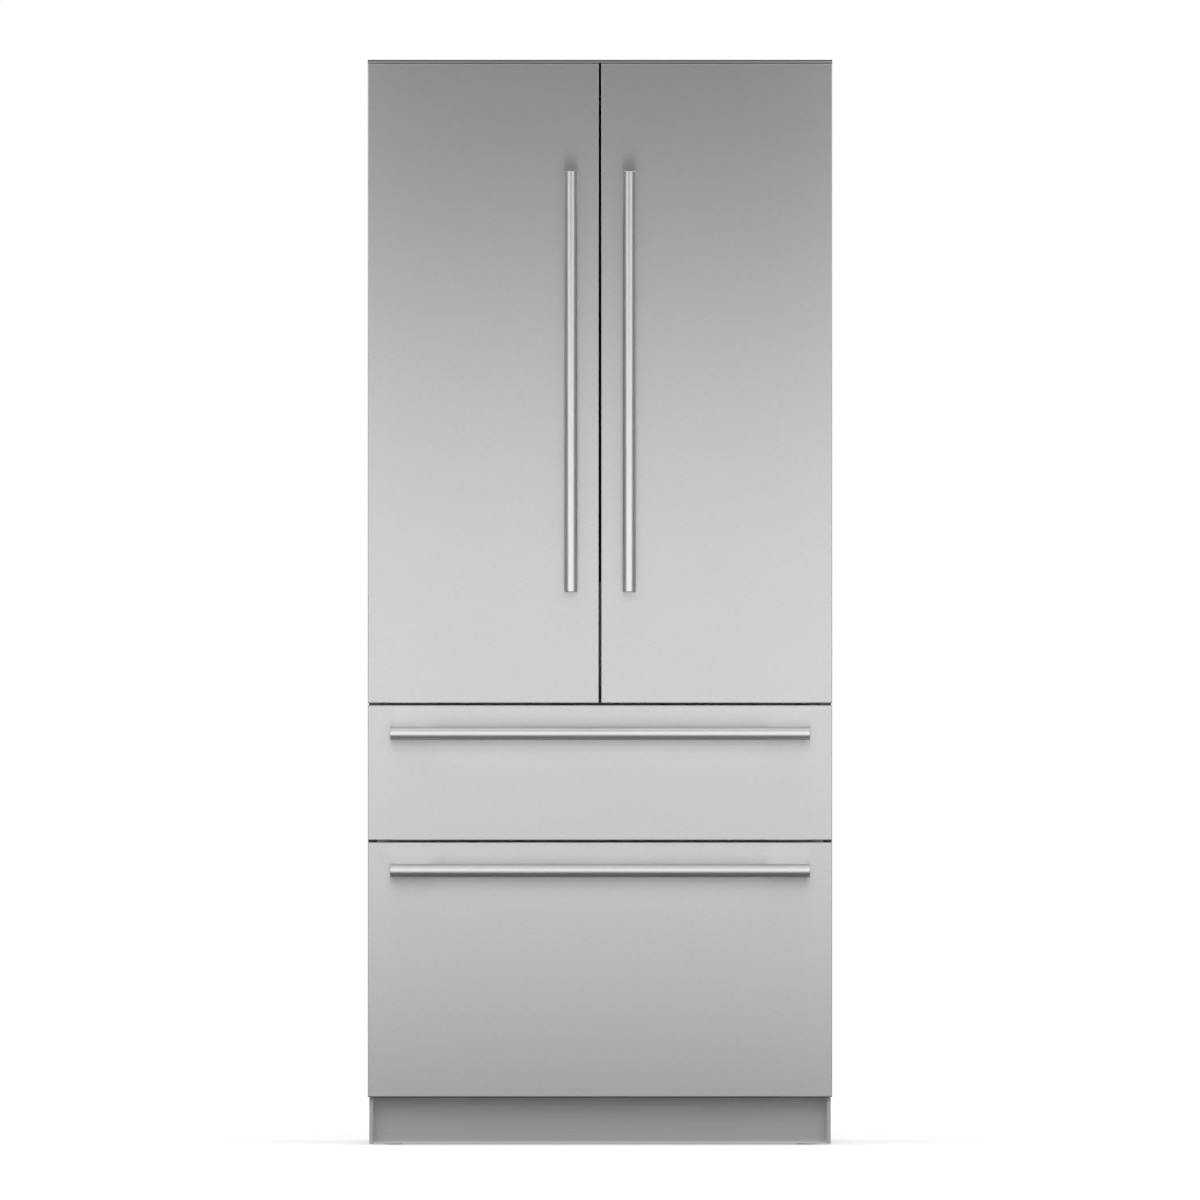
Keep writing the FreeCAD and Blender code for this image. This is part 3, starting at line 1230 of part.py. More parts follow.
def make_machine_cover():
    """The louvred cover behind the machine bay, with the gland between its two louvre fields."""
    half = CASING_IN - COVER_MARGIN
    z = (FRAME_CLEAR, MACHINE_HEIGHT)
    cover = block((-half, half), (COVER_FRONT, REAR_FACE), z)
    cuts = []
    gap = (z[1] - z[0] - LOUVRE_ROWS * LOUVRE_HEIGHT) / (LOUVRE_ROWS + 1)
    for side in (-1, 1):
        first = side * half / 2 - LOUVRE_PITCH * (LOUVRE_COUNT - 1) / 2
        for number in range(LOUVRE_COUNT):
            x = first + number * LOUVRE_PITCH
            for row in range(LOUVRE_ROWS):
                low = z[0] + gap + row * (LOUVRE_HEIGHT + gap)
                x_limits = (x - LOUVRE_WIDTH / 2, x + LOUVRE_WIDTH / 2)
                depth = (COVER_FRONT - CUT_OVER, REAR_FACE + CUT_OVER)
                cuts.append(block(x_limits, depth, (low, low + LOUVRE_HEIGHT)))
    return join([cover.cut(Part.makeCompound(cuts)), make_gland(z[0] + GLAND_ABOVE_COVER)])


def air_cover_limits():
    """The freezer air cover's limits of x and z."""
    half = LINER_HALF - DUCT_SIDE_GAP
    return (-half, half), (STEP_TOP + AIR_COVER_GAP, FREEZER_CEILING - DUCT_TOP_GAP)


def air_fan_centre():
    """Where the freezer fan's motor meets the cover (x, depth, z)."""
    _, z = air_cover_limits()
    return 0.0, AIR_COVER_FRONT + AIR_COVER_SHEET + MOTOR_LENGTH / 2, z[1] - AIR_FAN_BELOW_TOP


def make_freezer_air_cover():
    """The pan over the evaporator, with outlets, the fan motor and its shaft."""
    x, z = air_cover_limits()
    t = AIR_COVER_SHEET
    pan = block(x, (AIR_COVER_FRONT, LINER_BACK), z)
    hollow = block((x[0] + t, x[1] - t), (AIR_COVER_FRONT + t, LINER_BACK + CUT_OVER), (z[0] + t, z[1] - t))
    pan = pan.cut(hollow)
    cuts = []
    for side in (-1, 1):
        centre = side * (AIR_FAN_RADIUS + AIR_SLOT_WIDTH)
        for row in range(AIR_SLOT_ROWS):
            high = z[1] - AIR_SLOT_PITCH * (row + 1)
            x_limits = (centre - AIR_SLOT_WIDTH / 2, centre + AIR_SLOT_WIDTH / 2)
            depth = (AIR_COVER_FRONT - CUT_OVER, AIR_COVER_FRONT + t + CUT_OVER)
            cuts.append(block(x_limits, depth, (high - AIR_SLOT_HEIGHT, high)))
    pan = pan.cut(Part.makeCompound(cuts))
    centre = air_fan_centre()
    motor = rod(MOTOR_RADIUS, MOTOR_LENGTH / 2 + t / 2, (centre[0], centre[1], centre[2]), (0, -1, 0))
    shaft = rod(FAN_SHAFT / 2, FAN_PLAY + FAN_DEPTH, centre, (0, 1, 0))
    return join([pan, motor, shaft])


def make_freezer_fan():
    """The fan that moves cold air from the evaporator."""
    return make_fan(AIR_FAN_RADIUS, FAN_PLAY, air_fan_centre(), (0, 1, 0))


def make_evaporator():
    """A finned coil behind the freezer's air cover, on two end plates."""
    _, cover_z = air_cover_limits()
    bottom = cover_z[0] + AIR_COVER_SHEET + AIR_COVER_GAP / 2
    z = (bottom, bottom + EVAPORATOR_HEIGHT)
    depth = (LINER_BACK - EVAPORATOR_THICK, LINER_BACK - EVAPORATOR_END)
    half = EVAPORATOR_WIDTH / 2
    pieces = []
    pitch = (EVAPORATOR_WIDTH - FIN_SHEET) / (EVAPORATOR_FINS - 1)
    for number in range(EVAPORATOR_FINS):
        low = -half + number * pitch
        pieces.append(block((low, low + FIN_SHEET), depth, z))
    for side in (-1, 1):
        x = (side * half, side * (half - EVAPORATOR_END))
        pieces.append(block(x, (depth[0], LINER_BACK), z))
    for row in range(EVAPORATOR_TUBE_ROWS):
        height = z[0] + EVAPORATOR_HEIGHT * (row + 0.5) / EVAPORATOR_TUBE_ROWS
        for column in range(EVAPORATOR_TUBE_COLUMNS):
            tube_depth = depth[0] + (depth[1] - depth[0]) * (column + 0.5) / EVAPORATOR_TUBE_COLUMNS
            pieces.append(rod(TUBE_DIAMETER / 2, EVAPORATOR_WIDTH, (-half, tube_depth, height), (1, 0, 0)))
    return join(pieces)


def fronts():
    """The two doors and the two drawer fronts."""
    doors_z = (DOOR_BOTTOM, DOOR_TOP)
    food_z = (FOOD_FLOOR, FOOD_CEILING)
    left = Front("left_door", (-HALF, -REVEAL / 2), doors_z, (-LINER_HALF, 0), food_z, -1)
    right = Front("right_door", (REVEAL / 2, HALF), doors_z, (0, LINER_HALF), food_z, 1)
    full = (-HALF, HALF)
    wide = (-LINER_HALF, LINER_HALF)
    upper = Front("upper_drawer", full, (UPPER_BOTTOM, UPPER_TOP), wide, (UPPER_FLOOR, UPPER_CEILING))
    lower = Front("lower_drawer", full, (LOWER_BOTTOM, LOWER_TOP), wide, (FREEZER_FLOOR, FREEZER_CEILING))
    return left, right, upper, lower


def make_door_nodes(front):
    """Every node of one door."""
    panel = make_inner_panel(front)
    if front.hinge_side < 0:
        panel = join([panel] + mullion_ears())
    edge = front.x[1] if front.hinge_side < 0 else front.x[0]
    handle_x = edge + front.hinge_side * HANDLE_INSET
    return {
        front.name + "_skin": make_skin(front),
        front.name + "_insulation": make_insulation(front),
        front.name + "_inner_panel": panel,
        front.name + "_gasket": make_gasket(front),
        front.name + "_handle": make_handle("z", (handle_x, front.z[0] + HANDLE_ABOVE_DOOR_BOTTOM)),
        front.name + "_bins": make_door_bins(front),
    }


def make_drawer_nodes(front, slide_depth, slide_z, bin_back):
    """Every node of one drawer, with its slide bars and bin."""
    rim_bottom = slide_z + BAR_HALF_HEIGHT
    return {
        front.name + "_skin": make_skin(front),
        front.name + "_insulation": make_insulation(front),
        front.name + "_inner_panel": make_inner_panel(front),
        front.name + "_gasket": make_gasket(front),
        front.name + "_handle": make_handle("x", (-HANDLE_LENGTH / 2, front.z[1] - HANDLE_INSET)),
        front.name + "_slides": make_drawer_slides(slide_depth, slide_z),
        front.name + "_bin": make_bin(front.opening_z[0] + BIN_FLOOR_GAP, rim_bottom, bin_back),
    }


def make_nodes():
    """Every node of the refrigerator, by name."""
    left, right, upper, lower = fronts()
    nodes = {
        "side_panel_left": make_side_panel(-1),
        "side_panel_right": make_side_panel(1),
        "top_panel": make_top_panel(),
        "rear_panel": make_rear_panel(),
        "base_frame": make_base_frame(),
        "cabinet_insulation": make_cabinet_insulation(),
        "fresh_food_liner": make_food_liner(),
        "drawer_liner": make_drawer_liner(),
        "front_rails": make_front_rails(),
        "top_trim": make_top_trim(),
        "toe_kick": make_toe_kick(),
        "door_hinges": make_door_hinges(),
        "cabinet_slides": make_cabinet_slides(),
        "front_foot_left": make_foot(-1),
        "front_foot_right": make_foot(1),
        "rear_rollers": make_rear_rollers(),
        "compressor": make_compressor(),
        "condenser": make_condenser(),
        "condenser_fan": make_condenser_fan(),
        "drain_pan": make_drain_pan(),
        "machine_cover": make_machine_cover(),
        "evaporator": make_evaporator(),
        "freezer_air_cover": make_freezer_air_cover(),
        "freezer_fan": make_freezer_fan(),
        "fresh_air_panel": make_fresh_air_panel(),
        "shelf_frames": make_shelf_frames(),
        "shelf_glass": make_shelf_glass(),
        "crisper_left": make_crisper(-1),
        "crisper_right": make_crisper(1),
        "control_panel": make_control_panel(),
        "flip_mullion": make_mullion(),
        "upper_mid_slides": make_mid_slides(upper_slide_depth(), UPPER_SLIDE_Z),
        "lower_mid_slides": make_mid_slides(lower_slide_depth(), LOWER_SLIDE_Z),
        "freezer_tray": make_freezer_tray(),
    }
    nodes.update(make_door_nodes(left))
    nodes.update(make_door_nodes(right))
    upper_back = LINER_BACK - UPPER_BIN_BACK_GAP
    nodes.update(make_drawer_nodes(upper, upper_slide_depth(), UPPER_SLIDE_Z, upper_back))
    lower_back = STEP_FRONT - LOWER_BIN_BACK_GAP
    nodes.update(make_drawer_nodes(lower, lower_slide_depth(), LOWER_SLIDE_Z, lower_back))
    return nodes


def main():
    """Writes one STEP file for each node."""
    os.makedirs("parts", exist_ok=True)
    nodes = make_nodes()
    for name, shape in nodes.items():
        shape.exportStep(os.path.join("parts", name + ".step"))
        valid = all(solid.isValid() for solid in shape.Solids)
        litres = shape.Volume / 1e6
        print(f"{name}: {len(shape.Solids)} solids, {litres:.3f} litres, valid {valid}")
    print(f"{len(nodes)} nodes")


main()
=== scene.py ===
# %% [markdown]
# # A built-in french door refrigerator
# Two tall stainless doors stand over two full-width drawers, all of them with round bar handles.
# The construction is already packed as a fixed frame: sheet metal, foam, liners, hinges, slides and
# machines, each at its real size. This lesson dresses that frame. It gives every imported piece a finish,
# models the small pieces that the eye looks for, and sets up the camera and the studio light.

# %% Load the frame
import json
import math

import bmesh
import bpy
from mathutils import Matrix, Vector


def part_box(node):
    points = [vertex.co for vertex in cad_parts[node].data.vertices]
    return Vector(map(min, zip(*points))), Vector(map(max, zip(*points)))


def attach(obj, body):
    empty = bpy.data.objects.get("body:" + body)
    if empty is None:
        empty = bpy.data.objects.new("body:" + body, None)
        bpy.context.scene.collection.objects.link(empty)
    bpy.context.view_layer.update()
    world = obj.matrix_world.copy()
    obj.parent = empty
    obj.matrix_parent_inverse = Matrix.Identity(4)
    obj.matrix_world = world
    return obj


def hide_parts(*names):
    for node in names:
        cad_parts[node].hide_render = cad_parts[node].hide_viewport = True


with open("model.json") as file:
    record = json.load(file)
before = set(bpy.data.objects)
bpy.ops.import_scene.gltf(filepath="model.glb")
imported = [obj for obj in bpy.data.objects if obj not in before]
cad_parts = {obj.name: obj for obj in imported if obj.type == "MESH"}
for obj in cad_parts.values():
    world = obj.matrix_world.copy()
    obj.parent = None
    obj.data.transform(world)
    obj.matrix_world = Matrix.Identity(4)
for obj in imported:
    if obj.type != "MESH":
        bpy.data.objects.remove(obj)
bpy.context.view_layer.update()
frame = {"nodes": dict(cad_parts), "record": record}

nodes = frame["nodes"]
slot_of_node = {part["node"]: part["material_slot"] for part in frame["record"]["subparts"]}
MM = 0.001

# %% [markdown]
# ## A kit for finishes
# A finish is a Principled shader with a few textures in front of it. All textures read Object coordinates,
# in metres, so a pattern keeps its real scale and stays with its piece when a door turns.


# %% Finish kit
class Finish:
    """A material in the making: one Principled shader and the textures that feed it."""

    def __init__(self, name, roughness=0.5, metallic=0.0):
        self.material = bpy.data.materials.new(name)
        self.material.use_nodes = True
        self.nodes = self.material.node_tree.nodes
        self.links = self.material.node_tree.links
        self.shader = self.nodes["Principled BSDF"]
        self.set("Roughness", roughness)
        self.set("Metallic", metallic)

    def set(self, socket, value):
        """A value that is the same all over the surface."""
        self.shader.inputs[socket].default_value = value

    def feed(self, socket, output):
        """Link a texture's output to one of the shader's sockets."""
        self.links.new(output, self.shader.inputs[socket])

    def add(self, kind, values):
        """A new node with some of its inputs set."""
        node = self.nodes.new("ShaderNode" + kind)
        for socket, value in values.items():
            node.inputs[socket].default_value = value
        return node

    def places(self, stretch):
        """Object coordinates, multiplied along x, y and z."""
        coordinates = self.nodes.new("ShaderNodeTexCoord")
        mapping = self.add("Mapping", {"Scale": stretch})
        self.links.new(coordinates.outputs["Object"], mapping.inputs["Vector"])
        return mapping.outputs["Vector"]

    def noise(self, stretch, detail=2.0):
        """Cloudy noise between 0 and 1, whose grain follows the stretch."""
        texture = self.add("TexNoise", {"Scale": 1.0, "Detail": detail})
        self.links.new(self.places(stretch), texture.inputs["Vector"])
        return texture.outputs["Fac"]

    def cells(self, stretch, output="Color"):
        """Random cells, each with its own value."""
        texture = self.add("TexVoronoi", {"Scale": 1.0})
        self.links.new(self.places(stretch), texture.inputs["Vector"])
        return texture.outputs[output]

    def between(self, value, low, high, start=0.0, end=1.0):
        """The value moved from one range to another."""
        ranger = self.add("MapRange", {"From Min": start, "From Max": end, "To Min": low, "To Max": high})
        self.links.new(value, ranger.inputs["Value"])
        return ranger.outputs["Result"]

    def tint(self, value, dark, light, start=0.3, end=0.7):
        """A colour between two, chosen by the value."""
        ramp = self.nodes.new("ShaderNodeValToRGB")
        for stop, place, colour in zip(ramp.color_ramp.elements, (start, end), (dark, light)):
            stop.position = place
            stop.color = (*colour, 1.0)
        self.links.new(value, ramp.inputs["Fac"])
        return ramp.outputs["Color"]

    def vary_colour(self, value, colour, darkest, lightest):
        """A base colour that drifts between two multiples of itself."""
        dark = tuple(part * darkest for part in colour)
        light = tuple(part * lightest for part in colour)
        self.feed("Base Color", self.tint(value, dark, light))

    def vary_roughness(self, value, middle, play):
        """A roughness that swings about its middle."""
        self.feed("Roughness", self.between(value, middle - play, middle + play))

    def bump(self, height, strength, depth):
        """Fine relief: depth is its height in metres."""
        relief = self.add("Bump", {"Strength": strength, "Distance": depth})
        self.links.new(height, relief.inputs["Height"])
        self.feed("Normal", relief.outputs["Normal"])


def grey(level):
    """A neutral colour of one linear level."""
    return (level, level, level)


def alike(count):
    """A pattern with the same count to the metre along x, y and z."""
    return (count, count, count)


# %% [markdown]
# ## Brushed stainless steel
# The fronts are brushed sideways. Each scratch is a tiny groove that runs along x, so the sheet mirrors
# sharply across the room and blurs strongly up and down. An anisotropic shader does just that; its tangent
# points up, because the roughness is larger along the tangent. The doors turn about upright axes, so that
# direction stays right at every pose. Short streaks of stretched noise vary the colour, as real brushing
# does, and slow clouds vary the roughness. The trim is rolled strip, whose streaks are longer.

# %% Brushed steel
FRONT_GRAIN = (80.0, 80.0, 900.0)
ROLLED_GRAIN = (3.0, 900.0, 900.0)
CLOUD_GRAIN = (7.0, 7.0, 30.0)
SCRATCHES_TO_STREAK = 3.0


def brushed_steel(name, level, roughness, anisotropy, grain):
    """Stainless sheet brushed along x; the grain counts streaks to the metre along x, y and z."""
    steel = Finish(name, roughness, metallic=1.0)
    steel.set("Anisotropic", anisotropy)
    upwards = steel.add("CombineXYZ", {"Z": 1.0})
    steel.feed("Tangent", upwards.outputs["Vector"])
    streaks = steel.noise(grain, detail=5.0)
    steel.vary_colour(streaks, grey(level), darkest=0.96, lightest=1.04)
    clouds = steel.noise(CLOUD_GRAIN, detail=3.0)
    steel.vary_roughness(clouds, roughness, play=0.012)
    scratches = steel.noise(tuple(SCRATCHES_TO_STREAK * count for count in grain))
    steel.bump(scratches, strength=0.05, depth=0.02 * MM)
    return steel.material


finish_of_slot = {
    "stainless_front": brushed_steel(
        "brushed_front_steel", level=0.67, roughness=0.32, anisotropy=0.9, grain=FRONT_GRAIN
    ),
    "trim_steel": brushed_steel(
        "brushed_trim_steel", level=0.50, roughness=0.40, anisotropy=0.8, grain=ROLLED_GRAIN
    ),
}
print("steel finishes:", len(finish_of_slot))

# %% [markdown]
# ## Satin bar steel
# The handles are turned and polished to a satin sheen. They blur alike in every direction, so they carry
# soft bright and dark bands of the room along their length. Fine flecks and slow clouds are enough detail.


# %% Satin handle steel
def satin_steel(name, level, roughness):
    """Round bar with a fine, even satin polish."""
    steel = Finish(name, roughness, metallic=1.0)
    flecks = steel.noise(alike(900.0))
    steel.vary_colour(flecks, grey(level), darkest=0.97, lightest=1.03)
    clouds = steel.noise(alike(40.0), detail=3.0)
    steel.vary_roughness(clouds, roughness, play=0.03)
    steel.bump(flecks, strength=0.04, depth=0.02 * MM)
    return steel.material


finish_of_slot["handle_steel"] = satin_steel("satin_handle_steel", level=0.77, roughness=0.42)
print("finishes so far:", len(finish_of_slot))

# %% [markdown]
# ## Painted, plated and enamelled metal
# The casing has a grey stove paint with a slight orange peel. The chassis is powder coated black. Slides,
# screws and rear sheets are zinc plated, with the faint crystal flakes of plating, and the compressor has a
# glossy black enamel. One function sprays all the paints; the flakes are cells with a value of their own.


# %% Metal coatings
def paint(name, colour, roughness, peel, depth):
    """A sprayed coat whose relief is peel bumps to the metre."""
    coat = Finish(name, roughness)
    drift = coat.noise(alike(3.0), detail=3.0)
    coat.vary_colour(drift, colour, darkest=0.97, lightest=1.03)
    coat.vary_roughness(drift, roughness, play=0.03)
    coat.bump(coat.noise(alike(peel), detail=1.0), strength=0.25, depth=depth)
    return coat.material


def zinc_plate(name, roughness):
    """Bright zinc with a crystal pattern about a centimetre across."""
    zinc = Finish(name, roughness, metallic=1.0)
    flakes = zinc.cells(alike(110.0))
    zinc.feed("Base Color", zinc.tint(flakes, (0.50, 0.51, 0.52), (0.64, 0.65, 0.66), start=0.1, end=0.9))
    zinc.vary_roughness(flakes, roughness, play=0.07)
    zinc.bump(zinc.noise(alike(800.0)), strength=0.06, depth=0.05 * MM)
    return zinc.material


finish_of_slot["casing_paint"] = paint(
    "casing_stove_paint", colour=(0.42, 0.43, 0.44), roughness=0.42, peel=900.0, depth=0.06 * MM
)
finish_of_slot["frame_paint"] = paint(
    "chassis_powder_coat", colour=(0.05, 0.05, 0.055), roughness=0.55, peel=1500.0, depth=0.10 * MM
)
finish_of_slot["black_enamel"] = paint(
    "compressor_enamel", colour=grey(0.02), roughness=0.22, peel=500.0, depth=0.05 * MM
)
finish_of_slot["zinc_steel"] = zinc_plate("zinc_plated_steel", roughness=0.37)
print("finishes so far:", len(finish_of_slot))

# %% [markdown]
# ## Moulded plastics and rubber
# Liners and door panels are vacuum formed white sheet, smooth and a little glossy. Fittings are grey plastic
# with the fine spark texture of a mould. The touch panel is black and glossy, and the seals are matt grey
# rubber with a dusty bloom.


# %% Plastics and rubber
def moulded(name, colour, roughness, texture, depth):
    """A moulded plastic; texture is the number of relief bumps to the metre."""
    plastic = Finish(name, roughness)
    drift = plastic.noise(alike(4.0))
    plastic.vary_colour(drift, colour, darkest=0.975, lightest=1.02)
    plastic.vary_roughness(drift, roughness, play=0.04)
    plastic.bump(plastic.noise(alike(texture)), strength=0.2, depth=depth)
    return plastic.material


def seal_rubber(name, roughness):
    """Matt rubber with a dusty bloom."""
    rubber = Finish(name, roughness)
    bloom = rubber.noise(alike(60.0), detail=4.0)
    rubber.feed("Base Color", rubber.tint(bloom, (0.22, 0.22, 0.23), (0.32, 0.32, 0.33)))
    rubber.vary_roughness(bloom, roughness, play=0.08)
    rubber.bump(rubber.noise(alike(1500.0)), strength=0.25, depth=0.06 * MM)
    return rubber.material


finish_of_slot["white_plastic"] = moulded(
    "white_liner_plastic", colour=(0.83, 0.83, 0.815), roughness=0.30, texture=700.0, depth=0.03 * MM
)
finish_of_slot["grey_plastic"] = moulded(
    "grey_fitting_plastic", colour=(0.33, 0.34, 0.35), roughness=0.55, texture=2000.0, depth=0.05 * MM
)
finish_of_slot["dark_gloss"] = moulded(
    "dark_touch_gloss", colour=(0.02, 0.02, 0.023), roughness=0.10, texture=300.0, depth=0.01 * MM
)
finish_of_slot["seal_rubber"] = seal_rubber("gasket_rubber", roughness=0.72)
print("finishes so far:", len(finish_of_slot))

# %% [markdown]
# ## Clear pieces
# Bins and crispers are clear polystyrene with a faint blue cast, and the panes are toughened glass that looks
# green at its edges. A renderer treats glass as a wall for lamp light, so what lies behind it would turn too
# dark. A Light Path node mends that: for rays that come from a lamp the clear shader is swapped for a nearly
# white see-through one.

# %% Clear plastic and glass
LAMP_SHARE = 0.95
SMEAR_GRAIN = (9.0, 9.0, 14.0)


def clear(name, colour, index, roughness):
    """A see-through solid with faint smears."""
    pane = Finish(name, roughness)
    pane.set("Transmission Weight", 1.0)
    pane.set("IOR", index)
    smears = pane.noise(SMEAR_GRAIN, detail=4.0)
    pane.feed("Roughness", pane.between(smears, roughness, roughness + 0.05, start=0.45, end=0.75))
    pale = tuple(min(value * 1.02, 1.0) for value in colour)
    pane.feed("Base Color", pane.tint(smears, colour, pale))
    passing = pane.add("BsdfTransparent", {"Color": (*grey(LAMP_SHARE), 1.0)})
    path = pane.nodes.new("ShaderNodeLightPath")
    choice = pane.nodes.new("ShaderNodeMixShader")
    pane.links.new(path.outputs["Is Shadow Ray"], choice.inputs["Fac"])
    pane.links.new(pane.shader.outputs["BSDF"], choice.inputs[1])
    pane.links.new(passing.outputs["BSDF"], choice.inputs[2])
    pane.links.new(choice.outputs["Shader"], pane.nodes["Material Output"].inputs["Surface"])
    return pane.material


finish_of_slot["clear_plastic"] = clear(
    "clear_bin_plastic", colour=(0.975, 0.985, 0.99), index=1.49, roughness=0.03
)
finish_of_slot["shelf_glass"] = clear(
    "shelf_pane_glass", colour=(0.94, 0.98, 0.965), index=1.52, roughness=0.01
)
print("finishes so far:", len(finish_of_slot))

# %% [markdown]
# ## Bare aluminium and foam
# Coils are bare aluminium with the streaks of rolling, and the walls are filled with cream foam that only its
# cells give away. Both are mostly hidden, so a few textures are enough.

# %% Aluminium and foam
ALUMINIUM_GRAIN = (30.0, 700.0, 700.0)


def bare_aluminium(name, roughness):
    """Rolled aluminium with fine streaks."""
    metal = Finish(name, roughness, metallic=1.0)
    streaks = metal.noise(ALUMINIUM_GRAIN, detail=3.0)
    metal.feed("Base Color", metal.tint(streaks, (0.68, 0.69, 0.70), (0.79, 0.80, 0.81)))
    metal.vary_roughness(streaks, roughness, play=0.06)
    return metal.material


def wall_foam(name, roughness):
    """Rigid foam, seen only at a cut edge."""
    foam = Finish(name, roughness)
    bubbles = foam.cells(alike(700.0), "Distance")
    foam.feed("Base Color", foam.tint(bubbles, (0.80, 0.72, 0.50), (0.90, 0.84, 0.66)))
    foam.bump(bubbles, strength=0.4, depth=0.3 * MM)
    return foam.material


finish_of_slot["bare_aluminium"] = bare_aluminium("bare_coil_aluminium", roughness=0.34)
finish_of_slot["foam"] = wall_foam("cream_wall_foam", roughness=0.9)
print("finishes so far:", len(finish_of_slot))

# %% [markdown]
# ## Hand the finishes to the imported pieces
# Every imported piece names a slot in the record. Its own material slot takes the finish made for that name;
# the meshes themselves stay as they came. The toe kick takes a lighter copy of the trim's steel, painted
# light that lifts it in its recess, and the door hinges are coated black as painted shade, because they
# show in the gap under the doors.

# %% Dress the imported pieces
finish_of_node = {
    # The toe kick's lighter copy of the trim steel is painted light
    "toe_kick": brushed_steel(
        "brushed_toe_kick_steel_painted_light", level=0.62, roughness=0.40, anisotropy=0.8, grain=ROLLED_GRAIN
    ),
    # The hinges' black coat is painted shade for the gap under the doors
    "door_hinges": paint(
        "black_hinge_coat_painted_shade", colour=grey(0.05), roughness=0.50, peel=1200.0, depth=0.05 * MM
    ),
}
for name, node in nodes.items():
    node.data.materials.clear()
    node.data.materials.append(finish_of_node.get(name) or finish_of_slot[slot_of_node[name]])
print("dressed nodes:", len(nodes))

# %% [markdown]
# ## A kit for modelling
# The small pieces are modelled as by hand: a primitive at its size and place, then edit mode, then modifiers.
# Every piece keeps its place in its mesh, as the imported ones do.

# %% Modelling kit: start and pick
UP = Vector((0.0, 0.0, 1.0))
DOWN = -UP
BACK = Vector((0.0, 1.0, 0.0))
FORWARD = -BACK
LOOKS_ALONG = 0.9


def start_piece(name):
    """Name the new primitive and put its place and size into its mesh."""
    piece = bpy.context.object
    piece.name = name
    piece.data.name = name
    bpy.ops.object.transform_apply(location=True, rotation=True, scale=True)
    return piece


def start_box(name, low, high):
    """A box between two corners."""
    bpy.ops.object.select_all(action="DESELECT")
    bpy.ops.mesh.primitive_cube_add(size=1.0, location=(Vector(low) + Vector(high)) / 2)
    bpy.context.object.scale = Vector(high) - Vector(low)
    return start_piece(name)


def start_disc(name, centre, radius, length, turn, corners):
    """A round bar about its centre, turned from upright."""
    bpy.ops.object.select_all(action="DESELECT")
    bpy.ops.mesh.primitive_cylinder_add(
        vertices=corners, radius=radius, depth=length, location=centre, rotation=turn
    )
    return start_piece(name)


def looking(direction):
    """A test for the faces that look along a direction."""
    return lambda middle, normal: normal.dot(direction) > LOOKS_ALONG


def pick_faces(piece, wanted):
    """In edit mode, select the faces whose middle and normal pass a test."""
    bpy.ops.object.mode_set(mode="EDIT")
    bpy.ops.mesh.select_mode(type="FACE")
    bpy.ops.mesh.select_all(action="DESELECT")
    mesh = bmesh.from_edit_mesh(piece.data)
    for face in mesh.faces:
        face.select_set(wanted(face.calc_center_median(), face.normal))
    bmesh.update_edit_mesh(piece.data)


# %% Modelling kit: shape and finish
SMOOTH_ANGLE = math.radians(40.0)


def pull_faces(move):
    """Extrude the selected faces along a move."""
    bpy.ops.mesh.extrude_region_move(TRANSFORM_OT_translate={"value": move})


def round_edges(piece, width, segments=2):
    """Leave edit mode and round the sharp edges with a bevel modifier, which is then applied."""
    bpy.ops.object.mode_set(mode="OBJECT")
    bevel = piece.modifiers.new("rounding", "BEVEL")
    bevel.width = width
    bevel.segments = segments
    bevel.limit_method = "ANGLE"
    bpy.ops.object.modifier_apply(modifier=bevel.name)
    bpy.ops.object.shade_smooth_by_angle(angle=SMOOTH_ANGLE)


def copy_to(piece, moves):
    """Copies of a piece, each with its own mesh, joined with it into one."""
    copies = [piece]
    for move in moves:
        bpy.ops.object.select_all(action="DESELECT")
        piece.select_set(True)
        bpy.context.view_layer.objects.active = piece
        bpy.ops.object.duplicate(linked=False)
        bpy.ops.transform.translate(value=move)
        bpy.ops.object.transform_apply(location=True, rotation=True, scale=True)
        copies.append(bpy.context.object)
    bpy.ops.object.select_all(action="DESELECT")
    for copy in copies:
        copy.select_set(True)
    bpy.context.view_layer.objects.active = piece
    bpy.ops.object.join()


def dress(piece, slot, body, finish=None):
    """Give a piece its finish, its slot in the record and the body that it rides on."""
    piece.data.materials.clear()
    piece.data.materials.append(finish or finish_of_slot[slot])
    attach(piece, body)
    print(piece.name, "on", body, "with", len(piece.data.polygons), "faces")


# %% [markdown]
# ## Door and drawer gaskets
# A magnetic gasket is a hollow rubber strip: a foot in the door, a bellows with two pleats, and a flat pocket
# that holds the magnet and meets the casing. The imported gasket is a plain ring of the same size. A swept
# profile would do, but it is as easy by hand: a plane of the gasket's outline is extruded towards the casing
# in small steps, and each step is resized to walk along the profile. The corners come out mitred, like the
# welded corners of the real strip.

# %% Pleated gaskets
FRONTS = ("left_door", "right_door", "upper_drawer", "lower_drawer")
FACING_BACK = (math.radians(-90.0), 0.0, 0.0)
GASKET_WIDTH = 16.0 * MM
PLEAT = 2.2 * MM
PLEAT_EDGE = 0.2 * MM
POCKET_ROUND = 0.7 * MM
PLEAT_SMOOTH_ANGLE = math.radians(30.0)
SQUARE_ON = 0.99
# Steps in from the outer edge, and shares of the gasket's height
outer_steps = [(0.0, 0.14), (PLEAT, 0.28), (PLEAT_EDGE, 0.44), (PLEAT, 0.60), (PLEAT_EDGE, 0.76)]
outer_steps += [(PLEAT_EDGE, 0.94), (POCKET_ROUND, 1.0)]
inner_steps = [(GASKET_WIDTH - step, share) for step, share in reversed(outer_steps)]
inner_steps += [(GASKET_WIDTH, 0.0)]


